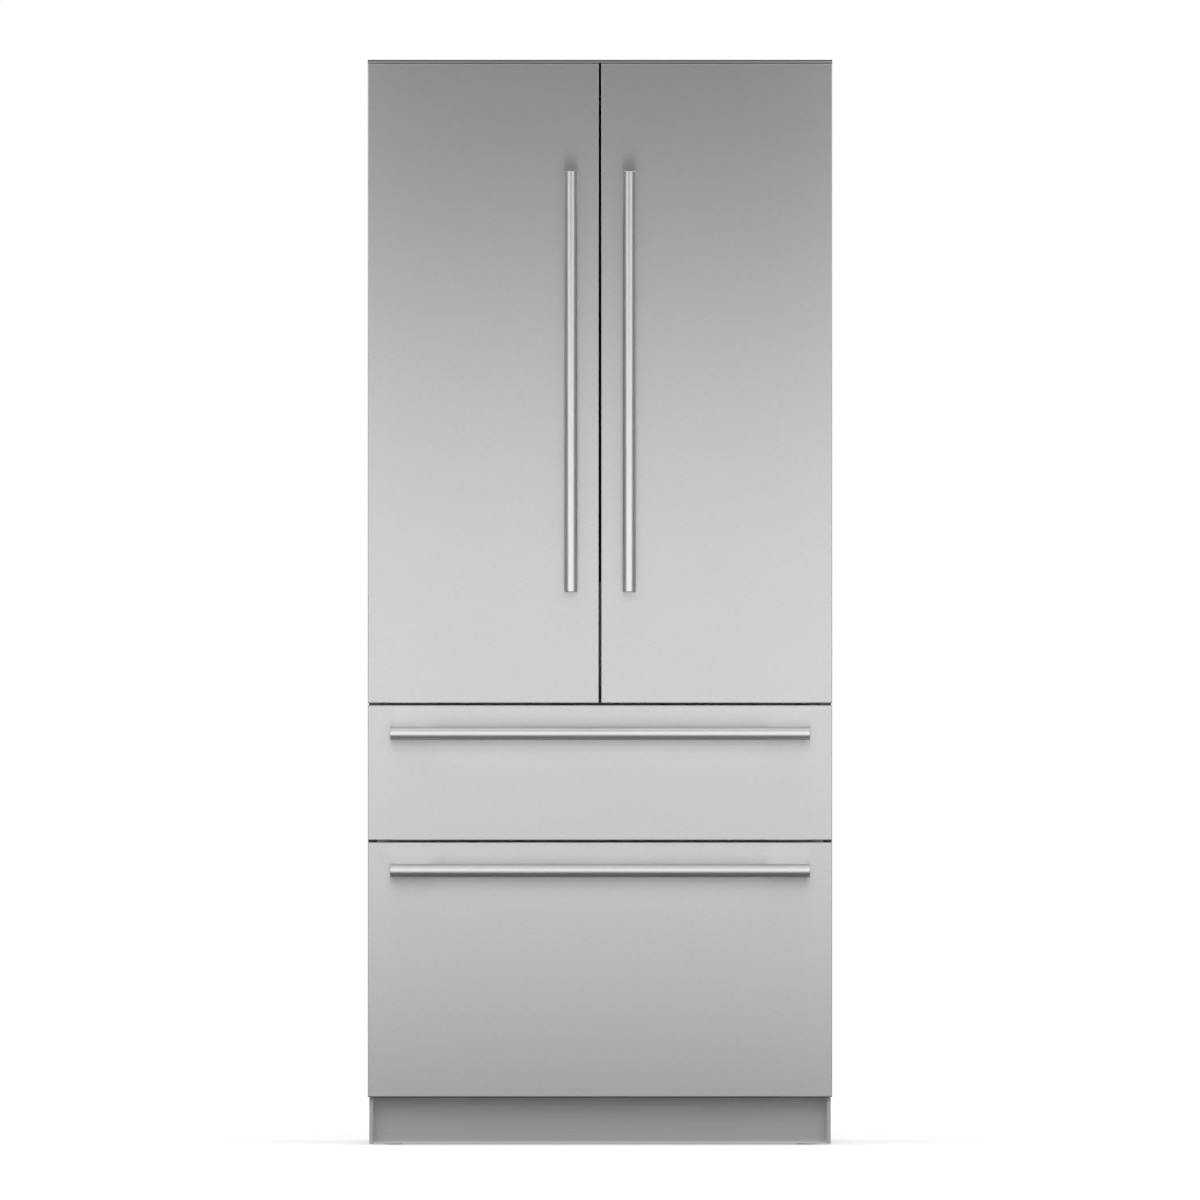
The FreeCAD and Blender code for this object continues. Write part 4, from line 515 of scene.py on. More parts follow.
def pleated_gasket(node, body):
    """A bellows ring in the place of a packed gasket."""
    low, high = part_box(node)
    size = high - low
    centre = Vector(((low.x + high.x) / 2, low.y, (low.z + high.z) / 2))
    bpy.ops.object.select_all(action="DESELECT")
    bpy.ops.mesh.primitive_plane_add(size=1.0, location=centre, rotation=FACING_BACK)
    bpy.context.object.scale = (size.x, size.z, 1.0)
    gasket = start_piece(node + "_pleats")
    bpy.ops.object.mode_set(mode="EDIT")
    bpy.ops.mesh.select_all(action="SELECT")
    last_step, last_share = 0.0, 0.0
    for step, share in outer_steps + inner_steps:
        pull_faces((0.0, (share - last_share) * size.y, 0.0))
        narrower = (size.x - 2 * step) / (size.x - 2 * last_step)
        lower = (size.z - 2 * step) / (size.z - 2 * last_step)
        bpy.ops.transform.resize(value=(narrower, 1.0, lower), center_override=centre)
        last_step, last_share = step, share

    def across_the_ring(middle, normal):
        """The faces that still close the middle of the ring."""
        return abs(normal.y) > SQUARE_ON and (middle - centre).length < GASKET_WIDTH

    pick_faces(gasket, across_the_ring)
    bpy.ops.mesh.delete(type="FACE")
    bpy.ops.mesh.select_mode(type="EDGE")
    bpy.ops.mesh.select_all(action="DESELECT")
    bpy.ops.mesh.select_non_manifold()
    bpy.ops.mesh.bridge_edge_loops()
    bpy.ops.mesh.select_all(action="SELECT")
    bpy.ops.mesh.normals_make_consistent(inside=False)
    bpy.ops.object.mode_set(mode="OBJECT")
    bpy.ops.object.shade_smooth_by_angle(angle=PLEAT_SMOOTH_ANGLE)
    dress(gasket, "seal_rubber", body)
    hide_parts(node)


for front in FRONTS:
    pleated_gasket(front + "_gasket", front)

# %% [markdown]
# ## Compartment lights
# A slim light bar runs up each side wall of the fresh food compartment, just behind the doors. Its frosted
# lens stands a little proud of a white frame. A box gives the frame; its inner face is inset and pulled out
# for the lens, and the faces in front of the frame take a second, frosted material.

# %% Light bars
SIDES = ((-1, "left"), (1, "right"))
LINER_SHEET = 3.0 * MM
LIGHT_FRAME = 4.0 * MM
LIGHT_WIDTH = 16.0 * MM
LIGHT_RIM = 2.5 * MM
LIGHT_ROUND = 0.7 * MM
LIGHT_BEHIND = 78.0 * MM
LIGHT_END = 40.0 * MM
LENS_OUT = 2.0 * MM
LENS_EDGE = 0.1 * MM
LENS_GRAIN = (30.0, 30.0, 8.0)


def frosted_lens(name):
    """Milky plastic that scatters the light behind it."""
    lens = Finish(name, roughness=0.55)
    drift = lens.noise(LENS_GRAIN)
    lens.feed("Base Color", lens.tint(drift, (0.86, 0.88, 0.90), (0.93, 0.94, 0.95)))
    lens.bump(lens.noise(alike(2500.0)), strength=0.3, depth=0.04 * MM)
    return lens.material


lens_finish = frosted_lens("frosted_light_lens")
liner_low, liner_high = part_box("fresh_food_liner")
light_front = liner_low.y + LIGHT_BEHIND - LIGHT_WIDTH
for side, word in SIDES:
    wall = side * (liner_high.x - LINER_SHEET)
    face = wall - side * LIGHT_FRAME
    low = (min(wall, face), light_front, liner_low.z + LIGHT_END)
    high = (max(wall, face), light_front + LIGHT_WIDTH, liner_high.z - LIGHT_END)
    light = start_box("food_light_" + word, low, high)
    pick_faces(light, looking(Vector((-side, 0.0, 0.0))))
    bpy.ops.mesh.inset(thickness=LIGHT_RIM)
    pull_faces((-side * LENS_OUT, 0.0, 0.0))
    round_edges(light, LIGHT_ROUND)
    dress(light, "white_plastic", "cabinet")
    light.data.materials.append(lens_finish)
    for polygon in light.data.polygons:
        polygon.material_index = int(side * (face - polygon.center.x) > LENS_EDGE)

# %% [markdown]
# ## Door bin trims and ledges
# Each clear door bin wears a metal cap along its front rim and stands on two small ledges of the door panel.
# The cap is a box whose underside is inset and pushed up, which leaves the groove that grips the rim. A ledge
# is a box whose underside is drawn in, so that the mould could let it go. Both are modelled once per door and
# copied.

# %% Door bin trims and ledges
BIN_HEIGHTS = (112.0 * MM, 100.0 * MM, 92.0 * MM)
BIN_SPACING = 290.0 * MM
BIN_SHEET = 3.0 * MM
BIN_CORNER = 13.0 * MM
CAP_WALL = 1.1 * MM
CAP_HEIGHT = 10.0 * MM
CAP_OVER = 1.2 * MM
CAP_ROUND = 0.4 * MM
LEDGE_LENGTH = 9.0 * MM
LEDGE_FRONT = 6.0 * MM
LEDGE_DEPTH = 28.0 * MM
LEDGE_HEIGHT = 8.0 * MM
LEDGE_ROUND = 1.2 * MM
LEDGE_DRAFT = 0.8
SEAT_PLAY = 0.3 * MM


def bin_caps(door, low, high):
    """Metal caps on the front rims of a door's bins, whose box is given."""
    tops = [low.z + number * BIN_SPACING + height for number, height in enumerate(BIN_HEIGHTS)]
    cap_low = (low.x + BIN_CORNER, high.y - BIN_SHEET - CAP_WALL, tops[0] - CAP_HEIGHT)
    cap_high = (high.x - BIN_CORNER, high.y + CAP_WALL, tops[0] + CAP_OVER)
    cap = start_box(door + "_bin_caps", cap_low, cap_high)
    pick_faces(cap, looking(DOWN))
    bpy.ops.mesh.inset(thickness=CAP_WALL)
    pull_faces((0.0, 0.0, CAP_HEIGHT))
    round_edges(cap, CAP_ROUND)
    copy_to(cap, [(0.0, 0.0, top - tops[0]) for top in tops[1:]])
    dress(cap, "trim_steel", door)


def bin_ledges(door, low, high):
    """A ledge under each end of a door's bins, whose box is given."""
    ledge_low = Vector((low.x - SEAT_PLAY, low.y + LEDGE_FRONT, low.z - SEAT_PLAY - LEDGE_HEIGHT))
    ledge_high = ledge_low + Vector((LEDGE_LENGTH, LEDGE_DEPTH, LEDGE_HEIGHT))
    ledge = start_box(door + "_bin_ledges", ledge_low, ledge_high)
    pick_faces(ledge, looking(DOWN))
    middle = (ledge_low + ledge_high) / 2
    bpy.ops.transform.resize(value=(1.0, LEDGE_DRAFT, 1.0), center_override=middle)
    round_edges(ledge, LEDGE_ROUND)
    across = high.x - low.x + 2 * SEAT_PLAY - LEDGE_LENGTH
    levels = [number * BIN_SPACING for number in range(len(BIN_HEIGHTS))]
    moves = [(aside, 0.0, level) for level in levels for aside in (0.0, across)]
    copy_to(ledge, moves[1:])
    dress(ledge, "white_plastic", door)


for door in ("left_door", "right_door"):
    bins_low, bins_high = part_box(door + "_bins")
    bin_caps(door, bins_low, bins_high)
    bin_ledges(door, bins_low, bins_high)

# %% [markdown]
# ## Crisper pulls and humidity slides
# The crispers have a bright pull along the lip, and above each one the cover frame carries a small slide that
# opens an air slot. The pull is a box with its lower front edge drawn back as a finger grip. The slide is a
# shallow plate with a groove, and a knob whose face is inset and sunk for the thumb.

# %% Crisper pulls and slides
PULL_OUT = 1.4 * MM
PULL_HEIGHT = 13.0 * MM
PULL_END = 18.0 * MM
PULL_GRIP = 5.0 * MM
PULL_ROUND = 0.4 * MM
PLATE_LENGTH = 84.0 * MM
PLATE_HEIGHT = 9.0 * MM
PLATE_OUT = 1.0 * MM
PLATE_RIM = 2.4 * MM
KNOB_LENGTH = 16.0 * MM
KNOB_OUT = 2.4 * MM
KNOB_HEIGHT_SHARE = 0.8
KNOB_RIM = 1.5 * MM
KNOB_DISH = 0.6 * MM
SLIDE_ROUND = 0.3 * MM
COVER_FRAME_MIDDLE = 1093.0 * MM
cover_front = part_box("shelf_frames")[0].y


def crisper_pull(word, low, high):
    """A bright grip along the lip of a crisper, whose box is given."""
    pull_low = (low.x + PULL_END, low.y - PULL_OUT, high.z - PULL_HEIGHT)
    pull_high = (high.x - PULL_END, low.y, high.z)
    pull = start_box("crisper_pull_" + word, pull_low, pull_high)
    pick_faces(pull, looking(DOWN))
    pull_faces((0.0, PULL_GRIP, -PULL_OUT))
    round_edges(pull, PULL_ROUND)
    dress(pull, "trim_steel", "crisper_" + word)


def humidity_slide(word, middle):
    """A grooved plate on the cover frame, and the knob that slides in it."""
    half = Vector((PLATE_LENGTH / 2, PLATE_OUT, PLATE_HEIGHT / 2))
    plate = start_box("humidity_plate_" + word, middle - half, middle + Vector((half.x, 0.0, half.z)))
    pick_faces(plate, looking(FORWARD))
    bpy.ops.mesh.inset(thickness=PLATE_RIM)
    pull_faces((0.0, PLATE_OUT / 2, 0.0))
    round_edges(plate, SLIDE_ROUND)
    dress(plate, "white_plastic", "cabinet")
    knob_low = middle - Vector((KNOB_LENGTH / 2, KNOB_OUT, half.z * KNOB_HEIGHT_SHARE))
    knob_high = middle + Vector((KNOB_LENGTH / 2, -PLATE_OUT / 2, half.z * KNOB_HEIGHT_SHARE))
    knob = start_box("humidity_knob_" + word, knob_low, knob_high)
    pick_faces(knob, looking(FORWARD))
    bpy.ops.mesh.inset(thickness=KNOB_RIM)
    pull_faces((0.0, KNOB_DISH, 0.0))
    round_edges(knob, SLIDE_ROUND)
    dress(knob, "grey_plastic", "cabinet")


for word in ("left", "right"):
    crisper_low, crisper_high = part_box("crisper_" + word)
    crisper_pull(word, crisper_low, crisper_high)
    humidity_slide(word, Vector(((crisper_low.x + crisper_high.x) / 2, cover_front, COVER_FRAME_MIDDLE)))

# %% [markdown]
# ## Touch panel marks
# The control panel under the ceiling has a slanted front edge with a display window and a row of plain touch
# pads, without any signs. The window and the pads are thin plates on the slant: a box and discs that are
# turned to it, with their outer faces inset and sunk.

# %% Touch panel marks
ON_THE_SLANT = (math.radians(-45.0), 0.0, 0.0)
SLANT_SIZE = 14.0 * MM
PAD_RADIUS = 3.6 * MM
PAD_CORNERS = 24
PAD_THICK = 0.8 * MM
PAD_RIM = 0.7 * MM
PAD_ROUND = 0.1 * MM
PAD_PITCH = 22.0 * MM
PADS_PER_SIDE = 3
WINDOW_LENGTH = 62.0 * MM
WINDOW_HEIGHT = 11.0 * MM
WINDOW_RIM = 1.2 * MM
WINDOW_ROUND = 0.15 * MM
panel_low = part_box("control_panel")[0]
slant_out = (FORWARD + DOWN).normalized()
slant_middle = Vector((0.0, panel_low.y + SLANT_SIZE / 2, panel_low.z + SLANT_SIZE / 2))

first_pad = WINDOW_LENGTH / 2 + PAD_PITCH
pad_middle = slant_middle + Vector((first_pad, 0.0, 0.0))
pad = start_disc("touch_pads", pad_middle, PAD_RADIUS, PAD_THICK, ON_THE_SLANT, PAD_CORNERS)
pick_faces(pad, looking(slant_out))
bpy.ops.mesh.inset(thickness=PAD_RIM)
pull_faces(-slant_out * PAD_THICK / 4)
round_edges(pad, PAD_ROUND)
places = [first_pad + number * PAD_PITCH for number in range(PADS_PER_SIDE)]
places += [-place for place in places]
copy_to(pad, [(place - first_pad, 0.0, 0.0) for place in places[1:]])
dress(pad, "grey_plastic", "cabinet")

bpy.ops.object.select_all(action="DESELECT")
bpy.ops.mesh.primitive_cube_add(size=1.0, location=slant_middle, rotation=ON_THE_SLANT)
bpy.context.object.scale = (WINDOW_LENGTH, WINDOW_HEIGHT, PAD_THICK)
window = start_piece("display_window")
pick_faces(window, looking(slant_out))
bpy.ops.mesh.inset(thickness=WINDOW_RIM)
pull_faces(-slant_out * PAD_THICK / 4)
round_edges(window, WINDOW_ROUND)
dress(window, "dark_gloss", "cabinet")

# %% [markdown]
# ## Screws of the casing
# The rear panel and the machine cover are held by screws around their edges. A screw head is a disc whose
# outer face is inset twice and sunk for the driver. It is modelled once for each ring and copied.

# %% Casing screws
SCREW_RADIUS = 4.5 * MM
SCREW_CORNERS = 18
SCREW_HEIGHT = 2.2 * MM
SCREW_EDGE = 12.0 * MM
SCREW_ROUND = 0.4 * MM
SCREW_RIM_SHARE = 0.3
SOCKET_RIM_SHARE = 0.15


def socket_screw(name, seat):
    """A screw head that looks backwards, with its underside on a seat."""
    centre = seat + BACK * SCREW_HEIGHT / 2
    screw = start_disc(name, centre, SCREW_RADIUS, SCREW_HEIGHT, FACING_BACK, SCREW_CORNERS)
    pick_faces(screw, looking(BACK))
    bpy.ops.mesh.inset(thickness=SCREW_RADIUS * SCREW_RIM_SHARE)
    bpy.ops.mesh.inset(thickness=SCREW_RADIUS * SOCKET_RIM_SHARE)
    pull_faces((0.0, -SCREW_HEIGHT / 2, 0.0))
    round_edges(screw, SCREW_ROUND)
    return screw


def screw_ring(name, node, face, side_count, end_count):
    """Screws around the edges of a rear plate."""
    low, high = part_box(node)
    left, right = low.x + SCREW_EDGE, high.x - SCREW_EDGE
    bottom, top = low.z + SCREW_EDGE, high.z - SCREW_EDGE
    seats = []
    for number in range(side_count):
        z = bottom + (top - bottom) * number / (side_count - 1)
        seats += [Vector((left, face, z)), Vector((right, face, z))]
    for number in range(end_count):
        x = left + (right - left) * (number + 1) / (end_count + 1)
        seats += [Vector((x, face, bottom)), Vector((x, face, top))]
    screw = socket_screw(name, seats[0])
    copy_to(screw, [seat - seats[0] for seat in seats[1:]])
    dress(screw, "zinc_steel", "cabinet")


rear_low, rear_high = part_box("rear_panel")
rear_face = rear_high.y
screw_ring("rear_panel_screws", "rear_panel", rear_face, side_count=9, end_count=4)
screw_ring("machine_cover_screws", "machine_cover", rear_face, side_count=2, end_count=3)

# %% [markdown]
# ## Beads of the casing
# Long beads are pressed into the rear panel and the roof to stiffen them. A bead is a box whose outer face is
# drawn in, with well rounded edges. The rear beads stay inside the rim of the side panels, and those of the
# roof stay lower than the trim.

# %% Pressed beads
BEAD_WIDTH = 16.0 * MM
BEAD_OUT = 2.6 * MM
BEAD_ROUND = 1.0 * MM
BEAD_MARGIN = 90.0 * MM
BEAD_PITCH = 150.0 * MM
BEAD_COUNT = 5
BEAD_DRAW = 0.55
BEAD_FROM_TRIM = 50.0 * MM
ROOF_DROP = 25.0 * MM


def pressed_beads(name, slot, low, high, outwards):
    """A row of beads along x in one sheet: the first between two corners, its outer face drawn in."""
    bead = start_box(name, low, high)
    pick_faces(bead, looking(outwards))
    middle = (Vector(low) + Vector(high)) / 2
    bpy.ops.transform.resize(value=(BEAD_DRAW, 1.0, 1.0), center_override=middle)
    round_edges(bead, BEAD_ROUND, segments=3)
    copy_to(bead, [(number * BEAD_PITCH, 0.0, 0.0) for number in range(1, BEAD_COUNT)])
    dress(bead, slot, "cabinet")


first_bead = -BEAD_PITCH * (BEAD_COUNT - 1) / 2 - BEAD_WIDTH / 2
last_x = first_bead + BEAD_WIDTH
pressed_beads(
    "rear_panel_beads",
    slot_of_node["rear_panel"],
    (first_bead, rear_face, rear_low.z + BEAD_MARGIN),
    (last_x, rear_face + BEAD_OUT, rear_high.z - BEAD_MARGIN),
    BACK,
)
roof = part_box("top_panel")[1].z - ROOF_DROP
pressed_beads(
    "roof_beads",
    slot_of_node["top_panel"],
    (first_bead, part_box("top_trim")[1].y + BEAD_FROM_TRIM, roof),
    (last_x, rear_face - BEAD_MARGIN, roof + BEAD_OUT),
    UP,
)

# %% [markdown]
# ## Foam plugs
# Foam is injected into the walls through holes in the rear panel, and round plastic plugs close them. A plug
# is a disc with a low rim: its face is inset and sunk, and a second inset is pulled out again as the middle
# boss.

# %% Foam plugs
PLUG_RADIUS = 21.0 * MM
PLUG_CORNERS = 40
PLUG_HEIGHT = 2.6 * MM
PLUG_RIM = 3.5 * MM
PLUG_BOSS = 10.0 * MM
PLUG_ROUND = 0.5 * MM
PLUG_SINK_SHARE = 0.6
BOSS_RISE_SHARE = 0.4
PLUG_ACROSS = 225.0 * MM
PLUG_HEIGHT_SHARES = (0.24, 0.76)
plug_rows = [rear_low.z + share * (rear_high.z - rear_low.z) for share in PLUG_HEIGHT_SHARES]
plug_seats = [Vector((side * PLUG_ACROSS, rear_face, z)) for side in (-1, 1) for z in plug_rows]
plug_middle = plug_seats[0] + BACK * PLUG_HEIGHT / 2
plug = start_disc("foam_plugs", plug_middle, PLUG_RADIUS, PLUG_HEIGHT, FACING_BACK, PLUG_CORNERS)
pick_faces(plug, looking(BACK))
bpy.ops.mesh.inset(thickness=PLUG_RIM)
pull_faces((0.0, -PLUG_HEIGHT * PLUG_SINK_SHARE, 0.0))
bpy.ops.mesh.inset(thickness=PLUG_RADIUS - PLUG_RIM - PLUG_BOSS)
pull_faces((0.0, PLUG_HEIGHT * BOSS_RISE_SHARE, 0.0))
round_edges(plug, PLUG_ROUND)
copy_to(plug, [seat - plug_seats[0] for seat in plug_seats[1:]])
dress(plug, "grey_plastic", "cabinet")

# %% [markdown]
# ## Edge seals
# A black rubber angle runs along each front edge of the casing. It closes the joint to the kitchen niche, and
# its black is painted shade: it makes the outer ends of the gaps between the fronts dark. It starts as the
# flat leg on the flange; a bisect marks off the strip beyond the casing's side, and that strip is pulled back
# along the side. The seal breaks at the hinges. A thin bead of the same rubber closes the top edge of the
# trim, and its black paints a dark shade line along that edge.

# %% Edge seals
SEAL_FLAT = 14.0 * MM
SEAL_THICK = 1.4 * MM
SEAL_SIDE = 2.6 * MM
SEAL_LENGTH = 16.0 * MM
SEAL_ROUND = 0.4 * MM
HINGE_CLEAR = 3.0 * MM
TOP_SEAL_HEIGHT = 2.2 * MM
TOP_SEAL_OUT = 0.6 * MM
TOP_SEAL_DRAW = 0.7
TOP_SEAL_ROUND = 0.15 * MM
# Black rubber for the lead bush, and for the seals, whose black paints the shade of the gaps and trim edge
black_rubber_and_shade = moulded(
    "black_seal_rubber_and_painted_shade", colour=(0.018, 0.018, 0.019), roughness=0.62, texture=1500.0, depth=0.05 * MM
)
door_gasket_low, door_gasket_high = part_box("left_door_gasket")
seal_runs = (
    ("drawer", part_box("lower_drawer_gasket")[0].z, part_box("door_hinges")[0].z - HINGE_CLEAR),
    ("door", door_gasket_low.z + HINGE_CLEAR, door_gasket_high.z),
)


def edge_seal_painted_shade(name, side, flange, outside, bottom, top):
    """A casing edge's rubber angle: a leg on the flange, a leg along the side; its black is painted shade."""
    ends = sorted((side * (outside - SEAL_FLAT), side * (outside + SEAL_SIDE)))
    seal = start_box(name, (ends[0], flange - SEAL_THICK, bottom), (ends[1], flange, top))
    bpy.ops.object.mode_set(mode="EDIT")
    bpy.ops.mesh.select_all(action="SELECT")
    bpy.ops.mesh.bisect(plane_co=(side * outside, 0.0, 0.0), plane_no=(1.0, 0.0, 0.0))
    pick_faces(seal, lambda middle, normal: normal.y > LOOKS_ALONG and abs(middle.x) > outside)
    pull_faces((0.0, SEAL_LENGTH, 0.0))
    round_edges(seal, SEAL_ROUND)
    dress(seal, "seal_rubber", "cabinet", black_rubber_and_shade)


for side, word in SIDES:
    wall_low, wall_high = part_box("side_panel_" + word)
    outside = max(abs(wall_low.x), abs(wall_high.x))
    for run, bottom, top in seal_runs:
        edge_seal_painted_shade(run + "_edge_seal_painted_shade_" + word, side, wall_low.y, outside, bottom, top)

trim_low, trim_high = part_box("top_trim")
# A thin black bead on the trim's top edge: painted shade, a dark line along that edge
top_shade_seal = start_box(
    "top_edge_seal",
    (trim_low.x, trim_low.y - TOP_SEAL_OUT, trim_high.z - TOP_SEAL_HEIGHT),
    (trim_high.x, trim_low.y, trim_high.z),
)
pick_faces(top_shade_seal, looking(FORWARD))
bpy.ops.transform.resize(value=(1.0, 1.0, TOP_SEAL_DRAW), center_override=trim_high)
round_edges(top_shade_seal, TOP_SEAL_ROUND)
dress(top_shade_seal, "seal_rubber", "cabinet", black_rubber_and_shade)

# %% [markdown]
# ## The lead bush
# The bush of the mains lead on the machine cover is black rubber. A disc is inset and pulled out in steps
# into a tapered nose with two ribs, and its end is inset and sunk for the bore.

# %% Lead bush
BUSH_RADIUS = 13.4 * MM
BUSH_CORNERS = 32
BUSH_FLANGE = 1.6 * MM
BUSH_NOSE = 9.4 * MM
BUSH_END = 7.3 * MM
BUSH_BORE = 4.2 * MM
BUSH_RIB = 0.5 * MM
BUSH_STEPS = 3
BUSH_ROUND = 0.2 * MM
BUSH_ABOVE_COVER = 62.0 * MM
machine_low, machine_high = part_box("machine_cover")
bush_step = (machine_high.y - rear_face - BUSH_FLANGE) / BUSH_STEPS
bush_middle = Vector((0.0, rear_face + BUSH_FLANGE / 2, machine_low.z + BUSH_ABOVE_COVER))
bush = start_disc("lead_bush", bush_middle, BUSH_RADIUS, BUSH_FLANGE, FACING_BACK, BUSH_CORNERS)
pick_faces(bush, looking(BACK))
bpy.ops.mesh.inset(thickness=BUSH_RADIUS - BUSH_NOSE)
taper = (BUSH_END / BUSH_NOSE) ** (1.0 / BUSH_STEPS)
for number in range(BUSH_STEPS):
    pull_faces((0.0, bush_step, 0.0))
    bpy.ops.transform.resize(value=(taper, 1.0, taper), center_override=bush_middle)
    if number < BUSH_STEPS - 1:
        bpy.ops.mesh.inset(thickness=BUSH_RIB)
bpy.ops.mesh.inset(thickness=BUSH_END - BUSH_BORE - BUSH_RIB * (BUSH_STEPS - 1))
pull_faces((0.0, -bush_step * BUSH_STEPS / 2, 0.0))
round_edges(bush, BUSH_ROUND)
dress(bush, "grey_plastic", "cabinet", black_rubber_and_shade)

# %% [markdown]
# ## Foot nuts
# A hexagon on each levelling foot takes the spanner. It is a six-sided disc with its top face drawn in, and
# it rides on the foot.

# %% Foot nuts
NUT_RADIUS = 11.0 * MM
NUT_CORNERS = 6
NUT_HEIGHT = 4.0 * MM
NUT_RIM = 1.5 * MM
NUT_RISE = 0.3 * MM
NUT_ROUND = 0.5 * MM
UPRIGHT_DISC = (0.0, 0.0, 0.0)
FOOT_PAD_HEIGHT = 8.0 * MM
for word in ("left", "right"):
    low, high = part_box("front_foot_" + word)
    nut_z = low.z + FOOT_PAD_HEIGHT + NUT_HEIGHT / 2
    centre = ((low.x + high.x) / 2, (low.y + high.y) / 2, nut_z)
    nut = start_disc("foot_nut_" + word, centre, NUT_RADIUS, NUT_HEIGHT, UPRIGHT_DISC, NUT_CORNERS)
    pick_faces(nut, looking(UP))
    bpy.ops.mesh.inset(thickness=NUT_RIM)
    pull_faces((0.0, 0.0, NUT_RISE))
    round_edges(nut, NUT_ROUND)
    dress(nut, "zinc_steel", "front_foot_" + word)

# %% [markdown]
# ## Handle screws
# A grub screw in the side of each pedestal holds the bar. It is a small disc with its outer face inset and
# sunk as the socket. On the doors the screws look towards the centre, on the drawers they look down.

# %% Handle screws
GRUB_RADIUS = 2.6 * MM
GRUB_CORNERS = 18
GRUB_LENGTH = 1.6 * MM
GRUB_PROUD = 0.2 * MM
GRUB_ROUND = 0.2 * MM
GRUB_RIM_SHARE = 0.4
GRUB_SINK_SHARE = 0.7
GRUB_FROM_END = 45.0 * MM
GRUB_FROM_DOOR = 20.0 * MM
PEDESTAL_WIDTH = 17.0 * MM
LYING_DISC = (0.0, math.radians(90.0), 0.0)
pedestal_face = PEDESTAL_WIDTH / 2 + GRUB_PROUD - GRUB_LENGTH / 2
for front in FRONTS:
    low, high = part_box(front + "_handle")
    middle = (low + high) / 2
    if high.z - low.z > high.x - low.x:
        outwards = Vector((-math.copysign(1.0, middle.x), 0.0, 0.0))
        first = Vector((middle.x, 0.0, low.z + GRUB_FROM_END))
        step = Vector((0.0, 0.0, high.z - low.z - 2 * GRUB_FROM_END))
        turn = LYING_DISC
    else:
        outwards = DOWN
        first = Vector((low.x + GRUB_FROM_END, 0.0, middle.z))
        step = Vector((high.x - low.x - 2 * GRUB_FROM_END, 0.0, 0.0))
        turn = UPRIGHT_DISC
    seat = first + outwards * pedestal_face + Vector((0.0, high.y - GRUB_FROM_DOOR, 0.0))
    grub = start_disc(front + "_grub_screws", seat, GRUB_RADIUS, GRUB_LENGTH, turn, GRUB_CORNERS)
    pick_faces(grub, looking(outwards))
    bpy.ops.mesh.inset(thickness=GRUB_RADIUS * GRUB_RIM_SHARE)
    pull_faces(-outwards * GRUB_LENGTH * GRUB_SINK_SHARE)
    round_edges(grub, GRUB_ROUND)
    copy_to(grub, [step])
    dress(grub, "zinc_steel", front)

# %% [markdown]
# ## Camera
# The picture is a straight front view with almost no perspective: the recessed toe kick and the handles keep
# the scale of the doors. So the camera stands far back with a very long lens, level with the middle of the
# frame. The height of the frame at the door face fixes the lens.

# %% Camera
FRAME_SIZE = 2.345
CAMERA_DISTANCE = 60.0
CAMERA_HEIGHT = 1.0655
CAMERA_REACH = 600.0
SENSOR = 36.0
UPRIGHT = (math.radians(90.0), 0.0, 0.0)
door_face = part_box("left_door_skin")[0].y
bpy.ops.object.select_all(action="DESELECT")
bpy.ops.object.camera_add(location=(0.0, door_face - CAMERA_DISTANCE, CAMERA_HEIGHT), rotation=UPRIGHT)
camera = bpy.context.object
camera.data.sensor_width = SENSOR
camera.data.lens = SENSOR * CAMERA_DISTANCE / FRAME_SIZE
camera.data.clip_end = CAMERA_REACH
bpy.context.scene.camera = camera
print("lens in millimetres:", round(camera.data.lens, 1))

# %% [markdown]
# ## Floor and room
# The room around is white near the horizon and dimmer overhead. The floor is plain and pale, and keeps a soft
# shadow. A little glow, which only camera, mirror and glass rays see, lifts it to the white of the room; matt
# surfaces get no light from it.

# %% Floor and room
FLOOR_SIZE = 400.0
FLOOR_GREY = 0.88
FLOOR_ROUGHNESS = 0.9
FLOOR_GLOW = 0.40
HORIZON = 0.25
ZENITH = 0.95
ZENITH_GREY = 0.50


def reckon(tree, operation, first, second):
    """A Math node: its first input is linked, and its second is linked or set to a number."""
    node = tree.nodes.new("ShaderNodeMath")
    node.operation = operation
    tree.links.new(first, node.inputs[0])
    if isinstance(second, float):
        node.inputs[1].default_value = second
    else:
        tree.links.new(second, node.inputs[1])
    return node.outputs["Value"]


def glow_for_pictures(tree, strength):
    """An emission strength for camera, mirror and glass rays alone."""
    path = tree.nodes.new("ShaderNodeLightPath")
    seen = path.outputs["Is Camera Ray"]
    for ray in ("Is Glossy Ray", "Is Transmission Ray"):
        seen = reckon(tree, "MAXIMUM", seen, path.outputs[ray])
    return reckon(tree, "MULTIPLY", seen, strength)


def make_floor():
    """A wide pale floor."""
    bpy.ops.object.select_all(action="DESELECT")
    bpy.ops.mesh.primitive_plane_add(size=FLOOR_SIZE)
    floor = bpy.context.object
    floor.name = "studio_floor"
    pale = Finish("pale_studio_floor", FLOOR_ROUGHNESS)
    pale.set("Base Color", (*grey(FLOOR_GREY), 1.0))
    pale.set("Specular IOR Level", 0.0)
    pale.set("Emission Color", (*grey(1.0), 1.0))
    pale.feed("Emission Strength", glow_for_pictures(pale.material.node_tree, FLOOR_GLOW))
    floor.data.materials.append(pale.material)


